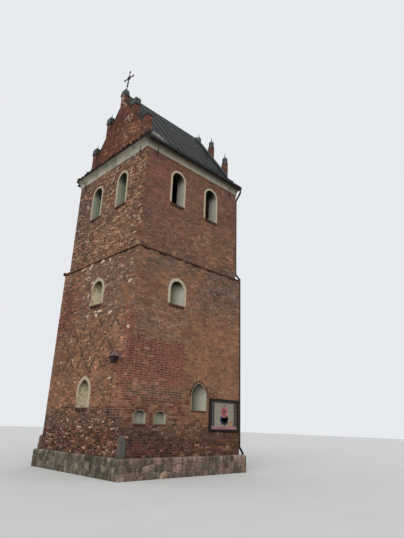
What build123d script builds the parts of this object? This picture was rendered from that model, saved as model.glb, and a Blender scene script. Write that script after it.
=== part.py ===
"""Brick bell tower with a gabled metal roof, a cove cornice and stepped pinnacles on both gables.

Units are millimetres. The origin is at ground level under the middle of the plan, +Z is up.
The street gable faces -Y, the eaves faces look to +X and -X, and the ridge runs along Y.
"""
import os
from math import atan2, cos, degrees, radians, sin, sqrt

from build123d import *

os.makedirs("parts", exist_ok=True)

# Plan of the lower stage, measured on its wall faces
TOWER_WIDTH = 6800
TOWER_DEPTH = 7150
UPPER_SETBACK = 160

# Heights, each measured from the piece below
PLINTH_TOP = 800
LOWER_STAGE = 9100
STRING_HEIGHT = 100
BELFRY_STAGE = 5440
CORNICE_HEIGHT = 460
ROOF_RISE = 5000
STRING_BOTTOM = PLINTH_TOP + LOWER_STAGE
STRING_TOP = STRING_BOTTOM + STRING_HEIGHT
CORNICE_BOTTOM = STRING_TOP + BELFRY_STAGE
WALL_HEAD = CORNICE_BOTTOM + CORNICE_HEIGHT
RIDGE_TOP = WALL_HEAD + ROOF_RISE

# Wall thicknesses and floors
LOWER_WALL = 1250
UPPER_WALL = 550
PLINTH_PROUD = 270
PLINTH_BEVEL = 60
STRING_PROUD = 50
STRING_NOSE = 55
GROUND_FLOOR_THICK = 120
DECK_THICK = 60
JOIST_DEPTH = 220
JOIST_WIDTH = 180
JOIST_COUNT = 6
FLOOR_GAP = 20
HATCH_BAY = 1
HATCH_FROM_WALL = 1165
HATCH_LENGTH = 1000

# Plaster round the openings, and their brick sills
NICHE_BAND = 135
WINDOW_BAND = 92
BAND_PROUD = 18
LINING = 22
SILL_THICK = 70
SILL_PROUD = 35
SILL_FALL = 25
POINTED_RISE = 0.6
SEGMENT_RISE = 0.21

# Cove cornice and the thin drip ledge on it
COVE_REACH = 235
COVE_STEP = 30
DRIP_THICK = 45
DRIP_REACH = 270
DRIP_FALL = 60

# Roof: a steep slope with a flatter bell-cast at the eaves, which end over the edge of the drip ledge
ROOF_SKIN = 60
EAVES_GAP = 3
EAVES_SLOPE = 0.94
BELLCAST_INSET = 220
VERGE_OVERHANG = 105
CORNER_GAP = 45
CORNER_SHEET_RISE = 190
PLATE_WIDTH = 200
PLATE_DEPTH = 300
RIDGE_BOARD = 50
RIDGE_BOARD_DEPTH = 260
RAFTER_DEPTH = 160
RAFTER_WIDTH = 120
RAFTER_PAIRS = 6
TIE_DEPTH = 220
TIE_WIDTH = 200
TIE_SPACING = 3400
RIDGE_ROLL = 45
RIDGE_WING = 160
RIDGE_SHEET = 14

# Gables: the raking masonry and five pinnacles on each
GABLE_THICK = 350
GABLE_INSET = 145
GABLE_SHIFT = 70
RAKE_BELOW_RIDGE = 1050
RAKE_FOOT = 513
PINNACLE_INSET = 730
FRONT_PINNACLE = 350
BACK_PINNACLE = 240

# How far the masonry stands over its evenly sloping rake, on the left and the right of each gable
FRONT_RAKE_LIFTS = (120, 600)
BACK_RAKE_LIFTS = (0, 0)

# Shafts: how far each one rises through the rake, from the left one to the right one
FRONT_RISES = [960, 990, 790, 1030, 1210]
BACK_RISES = [1103, 1330, 700, 1330, 1103]

# Front caps: tapering boxes, the apex one with a steeper top; two have lost their spikes
FRONT_CAP_PROUD = 48
FRONT_CAP_HEIGHTS = [440, 440, 440, 440, 150]
FRONT_CAP_TAPERS = [3, 3, 8, 3, 3]
CAP_BOX_SHARE = 0.92
CAP_LID_TAPER = 30
FRONT_SPIKE_HEIGHTS = [270, 330, 0, 0, 0]
FRONT_SPIKE_RADIUS = 20

# Back caps: a ring, a drum, a dome and a long spike
BACK_CAP_RADIUS = 165
BACK_CAP_SHIFT = 20
BACK_RING_HEIGHT = 120
BACK_DOME_HEIGHT = 170
BACK_SPIKE_HEIGHT = 420
BACK_SPIKE_FOOT = 42
BACK_RING_PROUD = 26
BACK_DRUM_HEIGHT = 250
DOME_BULGE = 45
COPING_THICK = 40
COPING_PROUD = 25
FLASHING_THICK = 30
FLASHING_INSET = 180
BACK_VERGE_RISE = 230

# Cross on the front apex
CROSS_SHIFT = 65
CROSS_HEIGHT = 1300
CROSS_SPAN = 860
CROSS_BAR = 42
CROSS_ARM_HEIGHT = 850
CROSS_LEAN = 9
CROSS_KNOB = 62
CROSS_KNOB_SPREAD = 46
CROSS_RING = 155
CROSS_RING_BAR = 28
CROSS_SCROLL = 75
CROSS_SCROLL_HEIGHTS = [330, 520]

# Gutters and downpipes
GUTTER_RADIUS = 75
GUTTER_SKIN = 6
GUTTER_BELOW_EAVES = 215
GUTTER_LIP = 165
PIPE_RADIUS = 55
PIPE_SKIN = 6
PIPE_CLEAR = 45
PIPE_INSET = 75
PIPE_FOOT = 120
PIPE_CLIP = 40
PIPE_CORNER = 75
PIPE_STRING_GAP = 12
PIPE_NECK_RISE = 60
PIPE_NECK_DROP = 350
UPPER_CLIP_RISES = [900, 2400, 4200]
LOWER_CLIP_RISES = [1100, 3200, 5600, 8200]

# Wall anchors
ANCHOR_BELOW_CORNICE = 335
ANCHOR_LENGTH = 560
ANCHOR_WIDTH = 45
ANCHOR_TIP = 12
ANCHOR_THICK = 28
ANCHOR_STAND = 85
ANCHOR_INSET = 620
STREET_ANCHOR_SHIFT = 120
TIE_ROD_RADIUS = 16
TIE_ROD_BELOW_CORNICE = 140

# Framed picture on the right wall
PICTURE_FROM_CORNER = 1170
PICTURE_ABOVE_PLINTH = 1050
PICTURE_WIDTH = 2150
PICTURE_HEIGHT = 1530
PICTURE_FRAME = 120
PICTURE_DEPTH = 90
PICTURE_PANEL = 30
PICTURE_BEVEL = 25

# Guard stones on the plinth at the street corners
STONE_PROUD = 170
STONE_WRAP = 190
STONE_TAPER = 5
STONE_ROUND = 60
STONE_HEIGHT_NEAR = 860
STONE_HEIGHT_FAR = 650

# Wall lantern on the front
LANTERN_FROM_CORNER = 550
LANTERN_REACH = 370
LANTERN_ABOVE_PLINTH = 3700
LANTERN_TOP_WIDTH = 300
LANTERN_FOOT_WIDTH = 190
LANTERN_BODY = 290
LANTERN_BAR = 18
LANTERN_GLASS = 5
LANTERN_GLASS_INSET = 7
LANTERN_BASE = 25
HOOD_HEIGHT = 190
HOOD_BRIM = 25
FINIAL_RADIUS = 20
ARM_THICK = 22
PLATE_DROP = 430
PLATE_STRAP = 60
PLATE_IRON = 12
BRACE_REACH = 250
BRACE_HOLLOW = 0.42

# Door on the churchyard side, set back in its doorway
DOOR_WIDTH = 1100
DOOR_CROWN = 2750
DOOR_LEAF = 60
DOOR_RECESS = 450
DOOR_FRAME = 90
DOOR_FRAME_DEPTH = 120
DOOR_LAP = 25
DOOR_FLOOR_GAP = 10

UPPER_WIDTH = TOWER_WIDTH - 2 * UPPER_SETBACK
UPPER_DEPTH = TOWER_DEPTH - 2 * UPPER_SETBACK
INNER_WIDTH = UPPER_WIDTH - 2 * UPPER_WALL
INNER_DEPTH = UPPER_DEPTH - 2 * UPPER_WALL
PINNACLE_SPACING = (UPPER_WIDTH / 2 - PINNACLE_INSET) / 2


class Opening:
    """A niche, window or doorway: kind of arch, place on its face, depth and width of its plaster band.

    A domed niche is half round in plan, as deep as half its width, with a half dome for its head.
    """

    def __init__(self, kind, middle, bottom, crown, width, depth, band=0, domed=False):
        self.kind = kind
        self.middle = middle
        self.bottom = bottom
        self.crown = crown
        self.width = width
        self.depth = depth
        self.band = band
        self.domed = domed


class Side:
    """One face of the tower: its name, outward direction and the direction to the right on it."""

    def __init__(self, name, outward, right):
        self.name = name
        self.outward = Vector(*outward)
        self.right = Vector(*right)

    def half(self, width, depth):
        """Distance from the middle of the plan to this face."""
        return depth / 2 if self.outward.X == 0 else width / 2

    def face(self, distance):
        """Plane on the face: x runs to the right, y runs up, z points out."""
        return Plane(origin=self.outward * distance, x_dir=self.right, z_dir=self.outward)

    def plan(self, distance, height):
        """Level plane on the face: x runs to the right, y runs into the tower."""
        return Plane(origin=self.outward * distance + Vector(0, 0, height), x_dir=self.right, z_dir=(0, 0, 1))

    def section(self, distance, along=0):
        """Upright plane across the face: x points out, y runs up."""
        return Plane(
            origin=self.outward * distance + self.right * along,
            x_dir=self.outward,
            z_dir=self.right * -1,
        )


FRONT = Side("front", (0, -1, 0), (1, 0, 0))
RIGHT = Side("right", (1, 0, 0), (0, 1, 0))
BACK = Side("back", (0, 1, 0), (-1, 0, 0))
LEFT = Side("left", (-1, 0, 0), (0, -1, 0))
SIDES = [FRONT, RIGHT, BACK, LEFT]

# Openings: heights are worked out from the courses above and below them
SMALL_NICHE_DEPTH = 260
LOW_NICHE = PLINTH_TOP + 1860
LOW_CROWN = PLINTH_TOP + 3200
SMALL_NICHE = PLINTH_TOP + 1245
SMALL_CROWN = PLINTH_TOP + 1865
HIGH_NICHE = STRING_BOTTOM - 2410
HIGH_CROWN = STRING_BOTTOM - 1100
SIDE_CROWN = STRING_BOTTOM - 1150
FRONT_SILL = STRING_TOP + 2740
FRONT_CROWN = CORNICE_BOTTOM - 730
SIDE_SILL = STRING_TOP + 2880
SIDE_WINDOW_CROWN = CORNICE_BOTTOM - 590


def niche(kind, middle, bottom, crown, width, band=NICHE_BAND):
    """A domed niche, half round in plan."""
    return Opening(kind, middle, bottom, crown, width, width / 2, band, domed=True)


def window(middle, bottom, crown, width):
    """A round-headed sound opening through the upper wall."""
    return Opening("round", middle, bottom, crown, width, UPPER_WALL, WINDOW_BAND)


LOWER_OPENINGS = {
    "front": [
        niche("pointed", 50, LOW_NICHE, LOW_CROWN, 950),
        niche("round", 250, HIGH_NICHE, HIGH_CROWN, 950),
    ],
    "right": [
        niche("pointed", 650, LOW_NICHE + 40, LOW_CROWN + 30, 1000, band=0),
        Opening("segmental", -2790, SMALL_NICHE, SMALL_CROWN, 620, SMALL_NICHE_DEPTH),
        Opening("segmental", -1670, SMALL_NICHE, SMALL_CROWN, 620, SMALL_NICHE_DEPTH),
        niche("round", -1060, HIGH_NICHE, SIDE_CROWN, 900),
    ],
    "back": [
        Opening("segmental", 0, 0, DOOR_CROWN, DOOR_WIDTH, LOWER_WALL),
        niche("round", 0, HIGH_NICHE, SIDE_CROWN, 900),
    ],
    "left": [
        niche("pointed", 0, LOW_NICHE + 40, LOW_CROWN + 30, 1000),
        niche("round", 0, HIGH_NICHE, SIDE_CROWN, 900),
    ],
}
UPPER_OPENINGS = {
    "front": [
        window(-1150, FRONT_SILL, FRONT_CROWN, 890),
        window(1250, FRONT_SILL, FRONT_CROWN, 830),
    ],
    "right": [
        window(-1235, SIDE_SILL, SIDE_WINDOW_CROWN, 870),
        window(1250, SIDE_SILL, SIDE_WINDOW_CROWN, 890),
    ],
    "back": [
        window(-1225, FRONT_SILL, FRONT_CROWN, 890),
        window(1225, FRONT_SILL, FRONT_CROWN, 890),
    ],
    "left": [
        window(-1235, SIDE_SILL, SIDE_WINDOW_CROWN, 870),
        window(1235, SIDE_SILL, SIDE_WINDOW_CROWN, 870),
    ],
}


def finish(piece, name):
    """Labels a finished piece and writes its file."""
    piece.part.label = name
    export_step(piece.part, f"parts/{name}.step")


def arch_face(kind, width, bottom, crown, grow=0):
    """Outline of an opening with its arch, grown outwards by an even margin except at its foot."""
    half = width / 2
    if kind == "round":
        radius = half
        spring = crown - half
    elif kind == "pointed":
        rise = POINTED_RISE * width
        radius = (rise**2 + half**2) / width
        spring = crown - rise
    else:
        rise = SEGMENT_RISE * width
        radius = (rise**2 + half**2) / (2 * rise)
        spring = crown - rise
    edge = half + grow
    reach = radius + grow
    if kind == "pointed":
        offset = radius - half
        top = spring + sqrt(reach**2 - offset**2)
        turn = atan2(top - spring, offset) / 2
        lift = reach * sin(turn)
        across = reach * cos(turn) - offset
    else:
        top = crown + grow
    shoulder = spring
    if kind == "segmental":
        shoulder = crown - radius + sqrt(reach**2 - edge**2)
    with BuildSketch() as outline:
        with BuildLine():
            Polyline((-edge, shoulder), (-edge, bottom), (edge, bottom), (edge, shoulder))
            if kind == "pointed":
                ThreePointArc((edge, shoulder), (across, spring + lift), (0, top))
                ThreePointArc((0, top), (-across, spring + lift), (-edge, shoulder))
            else:
                ThreePointArc((edge, shoulder), (0, top), (-edge, shoulder))
        make_face()
    return outline.sketch


def placed_face(opening, foot, grow=0):
    """Outline of one opening from a given foot upwards, at its own place on a face."""
    outline = arch_face(opening.kind, opening.width, foot, opening.crown, grow)
    return outline.moved(Location((opening.middle, 0, 0)))


def hollow(side, distance, opening, foot, depth, grow=0):
    """Solid that fills an opening behind a face: straight in, or half a turn about its middle if domed."""
    with BuildPart(mode=Mode.PRIVATE) as space:
        with BuildSketch(side.face(distance)):
            add(placed_face(opening, foot, grow))
            if opening.domed:
                with Locations((opening.middle, foot)):
                    Rectangle(opening.width, opening.crown, align=(Align.MAX, Align.MIN), mode=Mode.SUBTRACT)
        if opening.domed:
            centre = side.outward * distance + side.right * opening.middle
            revolve(axis=Axis(centre, (0, 0, 1)), revolution_arc=180)
        else:
            extrude(amount=-depth)
    return space.part


def wall_piece(name, side, width, depth, thickness, bottom, top, openings):
    """One wall of a stage. The right and left walls run the full depth, the others fit between."""
    distance = side.half(width, depth)
    if side.outward.X == 0:
        length = width - 2 * thickness
    else:
        length = depth
    with BuildPart() as wall:
        with BuildSketch(side.plan(distance, bottom)):
            Rectangle(length, thickness, align=(Align.CENTER, Align.MIN))
        extrude(amount=top - bottom)
        for opening in openings:
            add(hollow(side, distance, opening, opening.bottom, opening.depth), mode=Mode.SUBTRACT)
    finish(wall, name)


def framed_openings(side):
    """The niches and windows of a side, each with its distance from the middle of the plan."""
    lower = side.half(TOWER_WIDTH, TOWER_DEPTH)
    upper = side.half(UPPER_WIDTH, UPPER_DEPTH)
    placed = [(opening, lower) for opening in LOWER_OPENINGS[side.name] if opening.depth < LOWER_WALL]
    return placed + [(opening, upper) for opening in UPPER_OPENINGS[side.name]]


def surround_piece(name, side):
    """Plaster round the openings of one side: a band on the wall face and a lining in the reveal."""
    with BuildPart() as plaster:
        for opening, distance in framed_openings(side):
            foot = opening.bottom + SILL_THICK
            inside = opening.depth if opening.depth == UPPER_WALL else opening.depth - LINING
            add(hollow(side, distance, opening, foot, opening.depth))
            add(hollow(side, distance, opening, foot, inside, grow=-LINING), mode=Mode.SUBTRACT)
            if opening.band:
                with BuildSketch(side.face(distance)):
                    add(placed_face(opening, foot, opening.band))
                    add(placed_face(opening, foot, -LINING), mode=Mode.SUBTRACT)
                extrude(amount=BAND_PROUD)
    finish(plaster, name)


# Plinth of fieldstone, with a bevelled top edge outside the brick face
for side in SIDES:
    plinth_width = TOWER_WIDTH + 2 * PLINTH_PROUD
    plinth_depth = TOWER_DEPTH + 2 * PLINTH_PROUD
    distance = side.half(plinth_width, plinth_depth)
    thickness = LOWER_WALL + PLINTH_PROUD
    if side.outward.X == 0:
        length = plinth_width - 2 * thickness
    else:
        length = plinth_depth
    with BuildPart() as plinth:
        with BuildSketch(side.plan(distance, 0)):
            Rectangle(length, thickness, align=(Align.CENTER, Align.MIN))
        extrude(amount=PLINTH_TOP)
        outer_top = [
            edge
            for edge in plinth.edges().group_by(Axis.Z)[-1]
            if abs(edge.center().Y) > plinth_depth / 2 - 1 or abs(edge.center().X) > plinth_width / 2 - 1
        ]
        chamfer(outer_top, PLINTH_BEVEL)
        if side is BACK:
            with BuildSketch(side.face(distance)):
                Rectangle(DOOR_WIDTH, PLINTH_TOP, align=(Align.CENTER, Align.MIN))
            extrude(amount=-thickness, mode=Mode.SUBTRACT)
    finish(plinth, f"plinth_{side.name}")

# Ground floor of brick paving, carried through the doorway as its threshold
with BuildPart() as ground_floor:
    with BuildSketch():
        Rectangle(TOWER_WIDTH - 2 * LOWER_WALL, TOWER_DEPTH - 2 * LOWER_WALL)
    extrude(amount=GROUND_FLOOR_THICK)
    with BuildSketch(BACK.plan(TOWER_DEPTH / 2 + PLINTH_PROUD, 0)):
        Rectangle(DOOR_WIDTH, LOWER_WALL + PLINTH_PROUD, align=(Align.CENTER, Align.MIN))
    extrude(amount=GROUND_FLOOR_THICK)
finish(ground_floor, "ground_floor")

# Lower and upper walls
for side in SIDES:
    wall_piece(
        f"lower_wall_{side.name}",
        side,
        TOWER_WIDTH,
        TOWER_DEPTH,
        LOWER_WALL,
        PLINTH_TOP,
        STRING_BOTTOM,
        LOWER_OPENINGS[side.name],
    )
    wall_piece(
        f"upper_wall_{side.name}",
        side,
        UPPER_WIDTH,
        UPPER_DEPTH,
        UPPER_WALL,
        STRING_TOP,
        WALL_HEAD,
        UPPER_OPENINGS[side.name],
    )

# String course between the stages: a projecting course whose top falls away from the upper wall
with BuildPart() as string_course:
    with BuildSketch(Plane.XY.offset(STRING_BOTTOM)):
        Rectangle(TOWER_WIDTH + 2 * STRING_PROUD, TOWER_DEPTH + 2 * STRING_PROUD)
        Rectangle(TOWER_WIDTH - 2 * LOWER_WALL, TOWER_DEPTH - 2 * LOWER_WALL, mode=Mode.SUBTRACT)
    extrude(amount=STRING_TOP - STRING_BOTTOM)
    for side in SIDES:
        with BuildSketch(side.section(side.half(TOWER_WIDTH, TOWER_DEPTH))):
            with BuildLine():
                Polyline(
                    (STRING_PROUD, STRING_BOTTOM + STRING_NOSE),
                    (STRING_PROUD, STRING_TOP),
                    (-UPPER_SETBACK, STRING_TOP),
                    close=True,
                )
            make_face()
        extrude(amount=TOWER_DEPTH, both=True, mode=Mode.SUBTRACT)
finish(string_course, "string_course")

# Belfry floor: boards on joists that lie on the ledge left by the thinner upper walls
with BuildPart() as belfry_floor:
    joist_length = INNER_DEPTH - 2 * FLOOR_GAP
    joist_pitch = (INNER_WIDTH - 2 * FLOOR_GAP - JOIST_WIDTH) / (JOIST_COUNT - 1)
    with BuildSketch(Plane.XY.offset(STRING_TOP)):
        with GridLocations(joist_pitch, 0, JOIST_COUNT, 1):
            Rectangle(JOIST_WIDTH, joist_length)
    extrude(amount=JOIST_DEPTH)
    with BuildSketch(Plane.XY.offset(STRING_TOP + JOIST_DEPTH)):
        Rectangle(INNER_WIDTH - 2 * FLOOR_GAP, joist_length)
        with Locations((-joist_pitch * HATCH_BAY, INNER_DEPTH / 2 - HATCH_FROM_WALL)):
            Rectangle(joist_pitch - JOIST_WIDTH, HATCH_LENGTH, mode=Mode.SUBTRACT)
    extrude(amount=DECK_THICK)
finish(belfry_floor, "belfry_floor")

# Cove cornice under the eaves and gables, mitred at the corners
for side in SIDES:
    distance = side.half(UPPER_WIDTH, UPPER_DEPTH)
    half_length = (UPPER_WIDTH if side.outward.X == 0 else UPPER_DEPTH) / 2
    with BuildPart() as cornice:
        with BuildSketch(side.section(distance)):
            with BuildLine():
                Line((0, CORNICE_BOTTOM), (COVE_STEP, CORNICE_BOTTOM))
                TangentArc(
                    (COVE_STEP, CORNICE_BOTTOM),
                    (COVE_REACH, WALL_HEAD - COVE_STEP),
                    tangent=(0, 1),
                )
                Polyline(
                    (COVE_REACH, WALL_HEAD - COVE_STEP),
                    (COVE_REACH, WALL_HEAD),
                    (0, WALL_HEAD),
                    (0, CORNICE_BOTTOM),
                )
            make_face()
        extrude(amount=half_length + COVE_REACH, both=True)
        with BuildSketch(side.plan(distance, CORNICE_BOTTOM)):
            with BuildLine():
                Polyline(
                    (-half_length, 0),
                    (-half_length - COVE_REACH, -COVE_REACH),
                    (half_length + COVE_REACH, -COVE_REACH),
                    (half_length, 0),
                    close=True,
                )
            make_face()
        extrude(amount=CORNICE_HEIGHT, mode=Mode.INTERSECT)
    finish(cornice, f"cornice_{side.name}")

# Drip ledge on the cornice, falling outwards from the gables and the roof
with BuildPart() as cornice_ledge:
    for side in SIDES:
        distance = side.half(UPPER_WIDTH, UPPER_DEPTH)
        half_length = (UPPER_WIDTH if side.outward.X == 0 else UPPER_DEPTH) / 2
        with BuildPart(mode=Mode.PRIVATE) as run:
            with BuildSketch(side.section(distance)):
                with BuildLine():
                    Polyline(
                        (-GABLE_INSET, WALL_HEAD),
                        (DRIP_REACH, WALL_HEAD),
                        (DRIP_REACH, WALL_HEAD + DRIP_THICK),
                        (-GABLE_INSET, WALL_HEAD + DRIP_THICK + DRIP_FALL),
                        close=True,
                    )
                make_face()
            extrude(amount=half_length + DRIP_REACH, both=True)
            with BuildSketch(side.plan(distance, WALL_HEAD)):
                with BuildLine():
                    Polyline(
                        (-half_length + GABLE_INSET, GABLE_INSET),
                        (-half_length - DRIP_REACH, -DRIP_REACH),
                        (half_length + DRIP_REACH, -DRIP_REACH),
                        (half_length - GABLE_INSET, GABLE_INSET),
                        close=True,
                    )
                make_face()
            extrude(amount=DRIP_THICK + DRIP_FALL, mode=Mode.INTERSECT)
        add(run.part)
finish(cornice_ledge, "cornice_ledge")

# Lines of the roof and the gables, worked out from the driving sizes
EAVES_REACH = UPPER_WIDTH / 2 + DRIP_REACH
BELLCAST_X = UPPER_WIDTH / 2 - BELLCAST_INSET
EAVES_DROP = ROOF_SKIN * sqrt(1 + EAVES_SLOPE**2)
EAVES_HEIGHT = WALL_HEAD + DRIP_THICK + EAVES_GAP + EAVES_DROP
BELLCAST_Z = EAVES_HEIGHT + EAVES_SLOPE * (EAVES_REACH - BELLCAST_X)
EAVES_RUN = UPPER_DEPTH / 2 + VERGE_OVERHANG
ROOF_SLOPE = (RIDGE_TOP - BELLCAST_Z) / BELLCAST_X
SKIN_DROP = ROOF_SKIN * sqrt(1 + ROOF_SLOPE**2)
GABLE_FACE = UPPER_DEPTH / 2 - GABLE_INSET
ROOF_END = GABLE_FACE - GABLE_THICK
SHEET_END = ROOF_END - FLASHING_THICK
LEDGE_TOP = WALL_HEAD + DRIP_THICK + DRIP_FALL
LEDGE_INNER = UPPER_WIDTH / 2 - GABLE_INSET
FLASHING_FOOT = UPPER_WIDTH / 2 - FLASHING_INSET
GABLE_HALF = 2 * PINNACLE_SPACING + FRONT_PINNACLE / 2
CORNER_INNER = GABLE_SHIFT + GABLE_HALF + CORNER_GAP
PLATE_TOP = WALL_HEAD + PLATE_DEPTH
PLATE_MIDDLE = UPPER_WIDTH / 2 - UPPER_WALL / 2
RAKE_TOP = RIDGE_TOP - RAKE_BELOW_RIDGE
RAKE_SLOPE = (RAKE_TOP - WALL_HEAD - RAKE_FOOT) / GABLE_HALF
STEPS = range(-2, 3)


def rake_height(x):
    """Top of the raking masonry at a distance from the gable's middle."""
    return RAKE_TOP - RAKE_SLOPE * abs(x)


def shaft_tops(rises):
    """Tops of the five shafts of a gable, from how far each rises through the rake."""
    return [rake_height(step * PINNACLE_SPACING) + rise for step, rise in zip(STEPS, rises)]


def gable_outline(shaft, tops, lifts):
    """Gable seen square on: raking masonry with five square shafts that rise through it."""
    half_width = 2 * PINNACLE_SPACING + shaft / 2
    with BuildSketch() as outline:
        for end, lift in zip((-half_width, half_width), lifts):
            with BuildLine():
                Polyline(
                    (0, WALL_HEAD),
                    (end, WALL_HEAD),
                    (end, rake_height(end) + lift),
                    (0, RAKE_TOP + lift),
                    close=True,
                )
            make_face()
        for step, top in zip(STEPS, tops):
            with Locations((step * PINNACLE_SPACING, WALL_HEAD)):
                Rectangle(shaft, top - WALL_HEAD, align=(Align.CENTER, Align.MIN))
    return outline.sketch


FRONT_TOPS = shaft_tops(FRONT_RISES)
BACK_TOPS = shaft_tops(BACK_RISES)

# Gables, standing on the wall heads behind the cornice
GABLES = (
    (FRONT, FRONT_PINNACLE, FRONT_TOPS, FRONT_RAKE_LIFTS),
    (BACK, BACK_PINNACLE, BACK_TOPS, BACK_RAKE_LIFTS),
)
for side, shaft, tops, lifts in GABLES:
    with BuildPart() as gable:
        with BuildSketch(side.face(GABLE_FACE)):
            with Locations((GABLE_SHIFT * side.right.X, 0)):
                add(gable_outline(shaft, tops, lifts))
        extrude(amount=-GABLE_THICK)
    finish(gable, f"gable_{side.name}")

# Dark copings on the raking masonry, between the shafts
with BuildPart() as gable_copings:
    for side, shaft, tops, lifts in GABLES:
        for sign, lift in zip((-1, 1), lifts):
            for step in (0, 1):
                inner = step * PINNACLE_SPACING + shaft / 2
                outer = (step + 1) * PINNACLE_SPACING - shaft / 2
                inner_top = rake_height(inner) + lift
                outer_top = rake_height(outer) + lift
                shift = GABLE_SHIFT * side.right.X
                with BuildSketch(side.face(GABLE_FACE + COPING_PROUD)):
                    with BuildLine():
                        Polyline(
                            (shift + sign * inner, inner_top),
                            (shift + sign * outer, outer_top),
                            (shift + sign * outer, outer_top + COPING_THICK),
                            (shift + sign * inner, inner_top + COPING_THICK),
                            close=True,
                        )
                    make_face()
                extrude(amount=-GABLE_THICK - COPING_PROUD)
finish(gable_copings, "gable_copings")

# Sheet-metal caps on the front shafts: a tapering box under a low lid
with BuildPart() as pinnacle_caps_front:
    cap_width = FRONT_PINNACLE + 2 * FRONT_CAP_PROUD
    cap_y = -GABLE_FACE + (GABLE_THICK - FRONT_CAP_PROUD) / 2
    for step, top, height, taper, spike in zip(
        STEPS, FRONT_TOPS, FRONT_CAP_HEIGHTS, FRONT_CAP_TAPERS, FRONT_SPIKE_HEIGHTS
    ):
        cap_x = GABLE_SHIFT + step * PINNACLE_SPACING
        with BuildSketch(Plane((cap_x, cap_y, top))):
            Rectangle(cap_width, GABLE_THICK + FRONT_CAP_PROUD)
        extrude(amount=height * CAP_BOX_SHARE, taper=taper)
        lid = pinnacle_caps_front.faces().filter_by(Plane.XY).sort_by(Axis.Z)
        lid = lid.filter_by(lambda face: abs(face.center().X - cap_x) < cap_width / 2)[-1]
        extrude(lid, amount=height * (1 - CAP_BOX_SHARE), taper=CAP_LID_TAPER)
        if spike:
            with BuildSketch(Plane((cap_x, cap_y, top + height))):
                Circle(FRONT_SPIKE_RADIUS)
            extrude(amount=spike)
finish(pinnacle_caps_front, "pinnacle_caps_front")

# Bell-shaped caps on the back shafts, each turned round its shaft
with BuildPart() as pinnacle_caps_back:
    for step, top in zip(STEPS, BACK_TOPS):
        middle = (GABLE_SHIFT + step * PINNACLE_SPACING, GABLE_FACE - GABLE_THICK / 2 + BACK_CAP_SHIFT, 0)
        ring_top = top + BACK_RING_HEIGHT
        drum_top = ring_top + BACK_DRUM_HEIGHT
        dome_top = drum_top + BACK_DOME_HEIGHT
        with BuildSketch(Plane(origin=middle, x_dir=(1, 0, 0), z_dir=(0, -1, 0))):
            with BuildLine():
                Polyline(
                    (0, top),
                    (BACK_CAP_RADIUS + BACK_RING_PROUD, top),
                    (BACK_CAP_RADIUS + BACK_RING_PROUD, ring_top),
                    (BACK_CAP_RADIUS, ring_top),
                    (BACK_CAP_RADIUS, drum_top),
                )
                SagittaArc((BACK_CAP_RADIUS, drum_top), (BACK_SPIKE_FOOT, dome_top), -DOME_BULGE)
                Polyline((BACK_SPIKE_FOOT, dome_top), (0, dome_top + BACK_SPIKE_HEIGHT), (0, top))
            make_face()
        revolve(axis=Axis(middle, (0, 0, 1)))
finish(pinnacle_caps_back, "pinnacle_caps_back")

# Sheet metal closing the roof's ends behind the gables, with a raised verge at the back
with BuildPart() as verge_flashings:
    for side in (FRONT, BACK):
        with BuildSketch(side.face(ROOF_END)):
            with BuildLine():
                Polyline(
                    (-FLASHING_FOOT, WALL_HEAD),
                    (-FLASHING_FOOT, LEDGE_TOP),
                    (-BELLCAST_X, BELLCAST_Z),
                    (0, RIDGE_TOP),
                    (BELLCAST_X, BELLCAST_Z),
                    (FLASHING_FOOT, LEDGE_TOP),
                    (FLASHING_FOOT, WALL_HEAD),
                    close=True,
                )
            make_face()
        extrude(amount=-FLASHING_THICK)
    with BuildSketch(BACK.face(ROOF_END)):
        with BuildLine():
            Polyline(
                (-BELLCAST_X, BELLCAST_Z),
                (-BELLCAST_X, BELLCAST_Z + BACK_VERGE_RISE),
                (0, RIDGE_TOP + BACK_VERGE_RISE),
                (BELLCAST_X, BELLCAST_Z + BACK_VERGE_RISE),
                (BELLCAST_X, BELLCAST_Z),
                (0, RIDGE_TOP),
                close=True,
            )
        make_face()
    extrude(amount=-FLASHING_THICK)
finish(verge_flashings, "verge_flashings")

# Roof slopes: a sheet-metal skin from the ridge to the eaves, with a low sheet on each corner
for side in (RIGHT, LEFT):
    with BuildPart() as roof_slope:
        with BuildSketch(side.section(0)):
            with BuildLine():
                Polyline(
                    (0, RIDGE_TOP),
                    (BELLCAST_X, BELLCAST_Z),
                    (EAVES_REACH, EAVES_HEIGHT),
                    (EAVES_REACH, EAVES_HEIGHT - EAVES_DROP),
                    (BELLCAST_X, BELLCAST_Z - SKIN_DROP),
                    (0, RIDGE_TOP - SKIN_DROP),
                    close=True,
                )
            make_face()
        extrude(amount=SHEET_END, both=True)
        for end in (-1, 1):
            along = end * (ROOF_END + EAVES_RUN) / 2
            with BuildSketch(side.section(0, along)):
                with BuildLine():
                    Polyline(
                        (CORNER_INNER, LEDGE_TOP),
                        (CORNER_INNER, LEDGE_TOP + CORNER_SHEET_RISE),
                        (EAVES_REACH, EAVES_HEIGHT),
                        (EAVES_REACH, EAVES_HEIGHT - EAVES_DROP),
                        (LEDGE_INNER, LEDGE_TOP),
                        close=True,
                    )
                make_face()
            extrude(amount=(EAVES_RUN - ROOF_END) / 2, both=True)
            with BuildSketch(side.section(0, end * (SHEET_END + ROOF_END) / 2)):
                with BuildLine():
                    Polyline(
                        (BELLCAST_X, BELLCAST_Z),
                        (EAVES_REACH, EAVES_HEIGHT),
                        (EAVES_REACH, EAVES_HEIGHT - EAVES_DROP),
                        (LEDGE_INNER, LEDGE_TOP),
                        close=True,
                    )
                make_face()
            extrude(amount=FLASHING_THICK / 2, both=True)
    finish(roof_slope, f"roof_slope_{side.name}")

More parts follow.
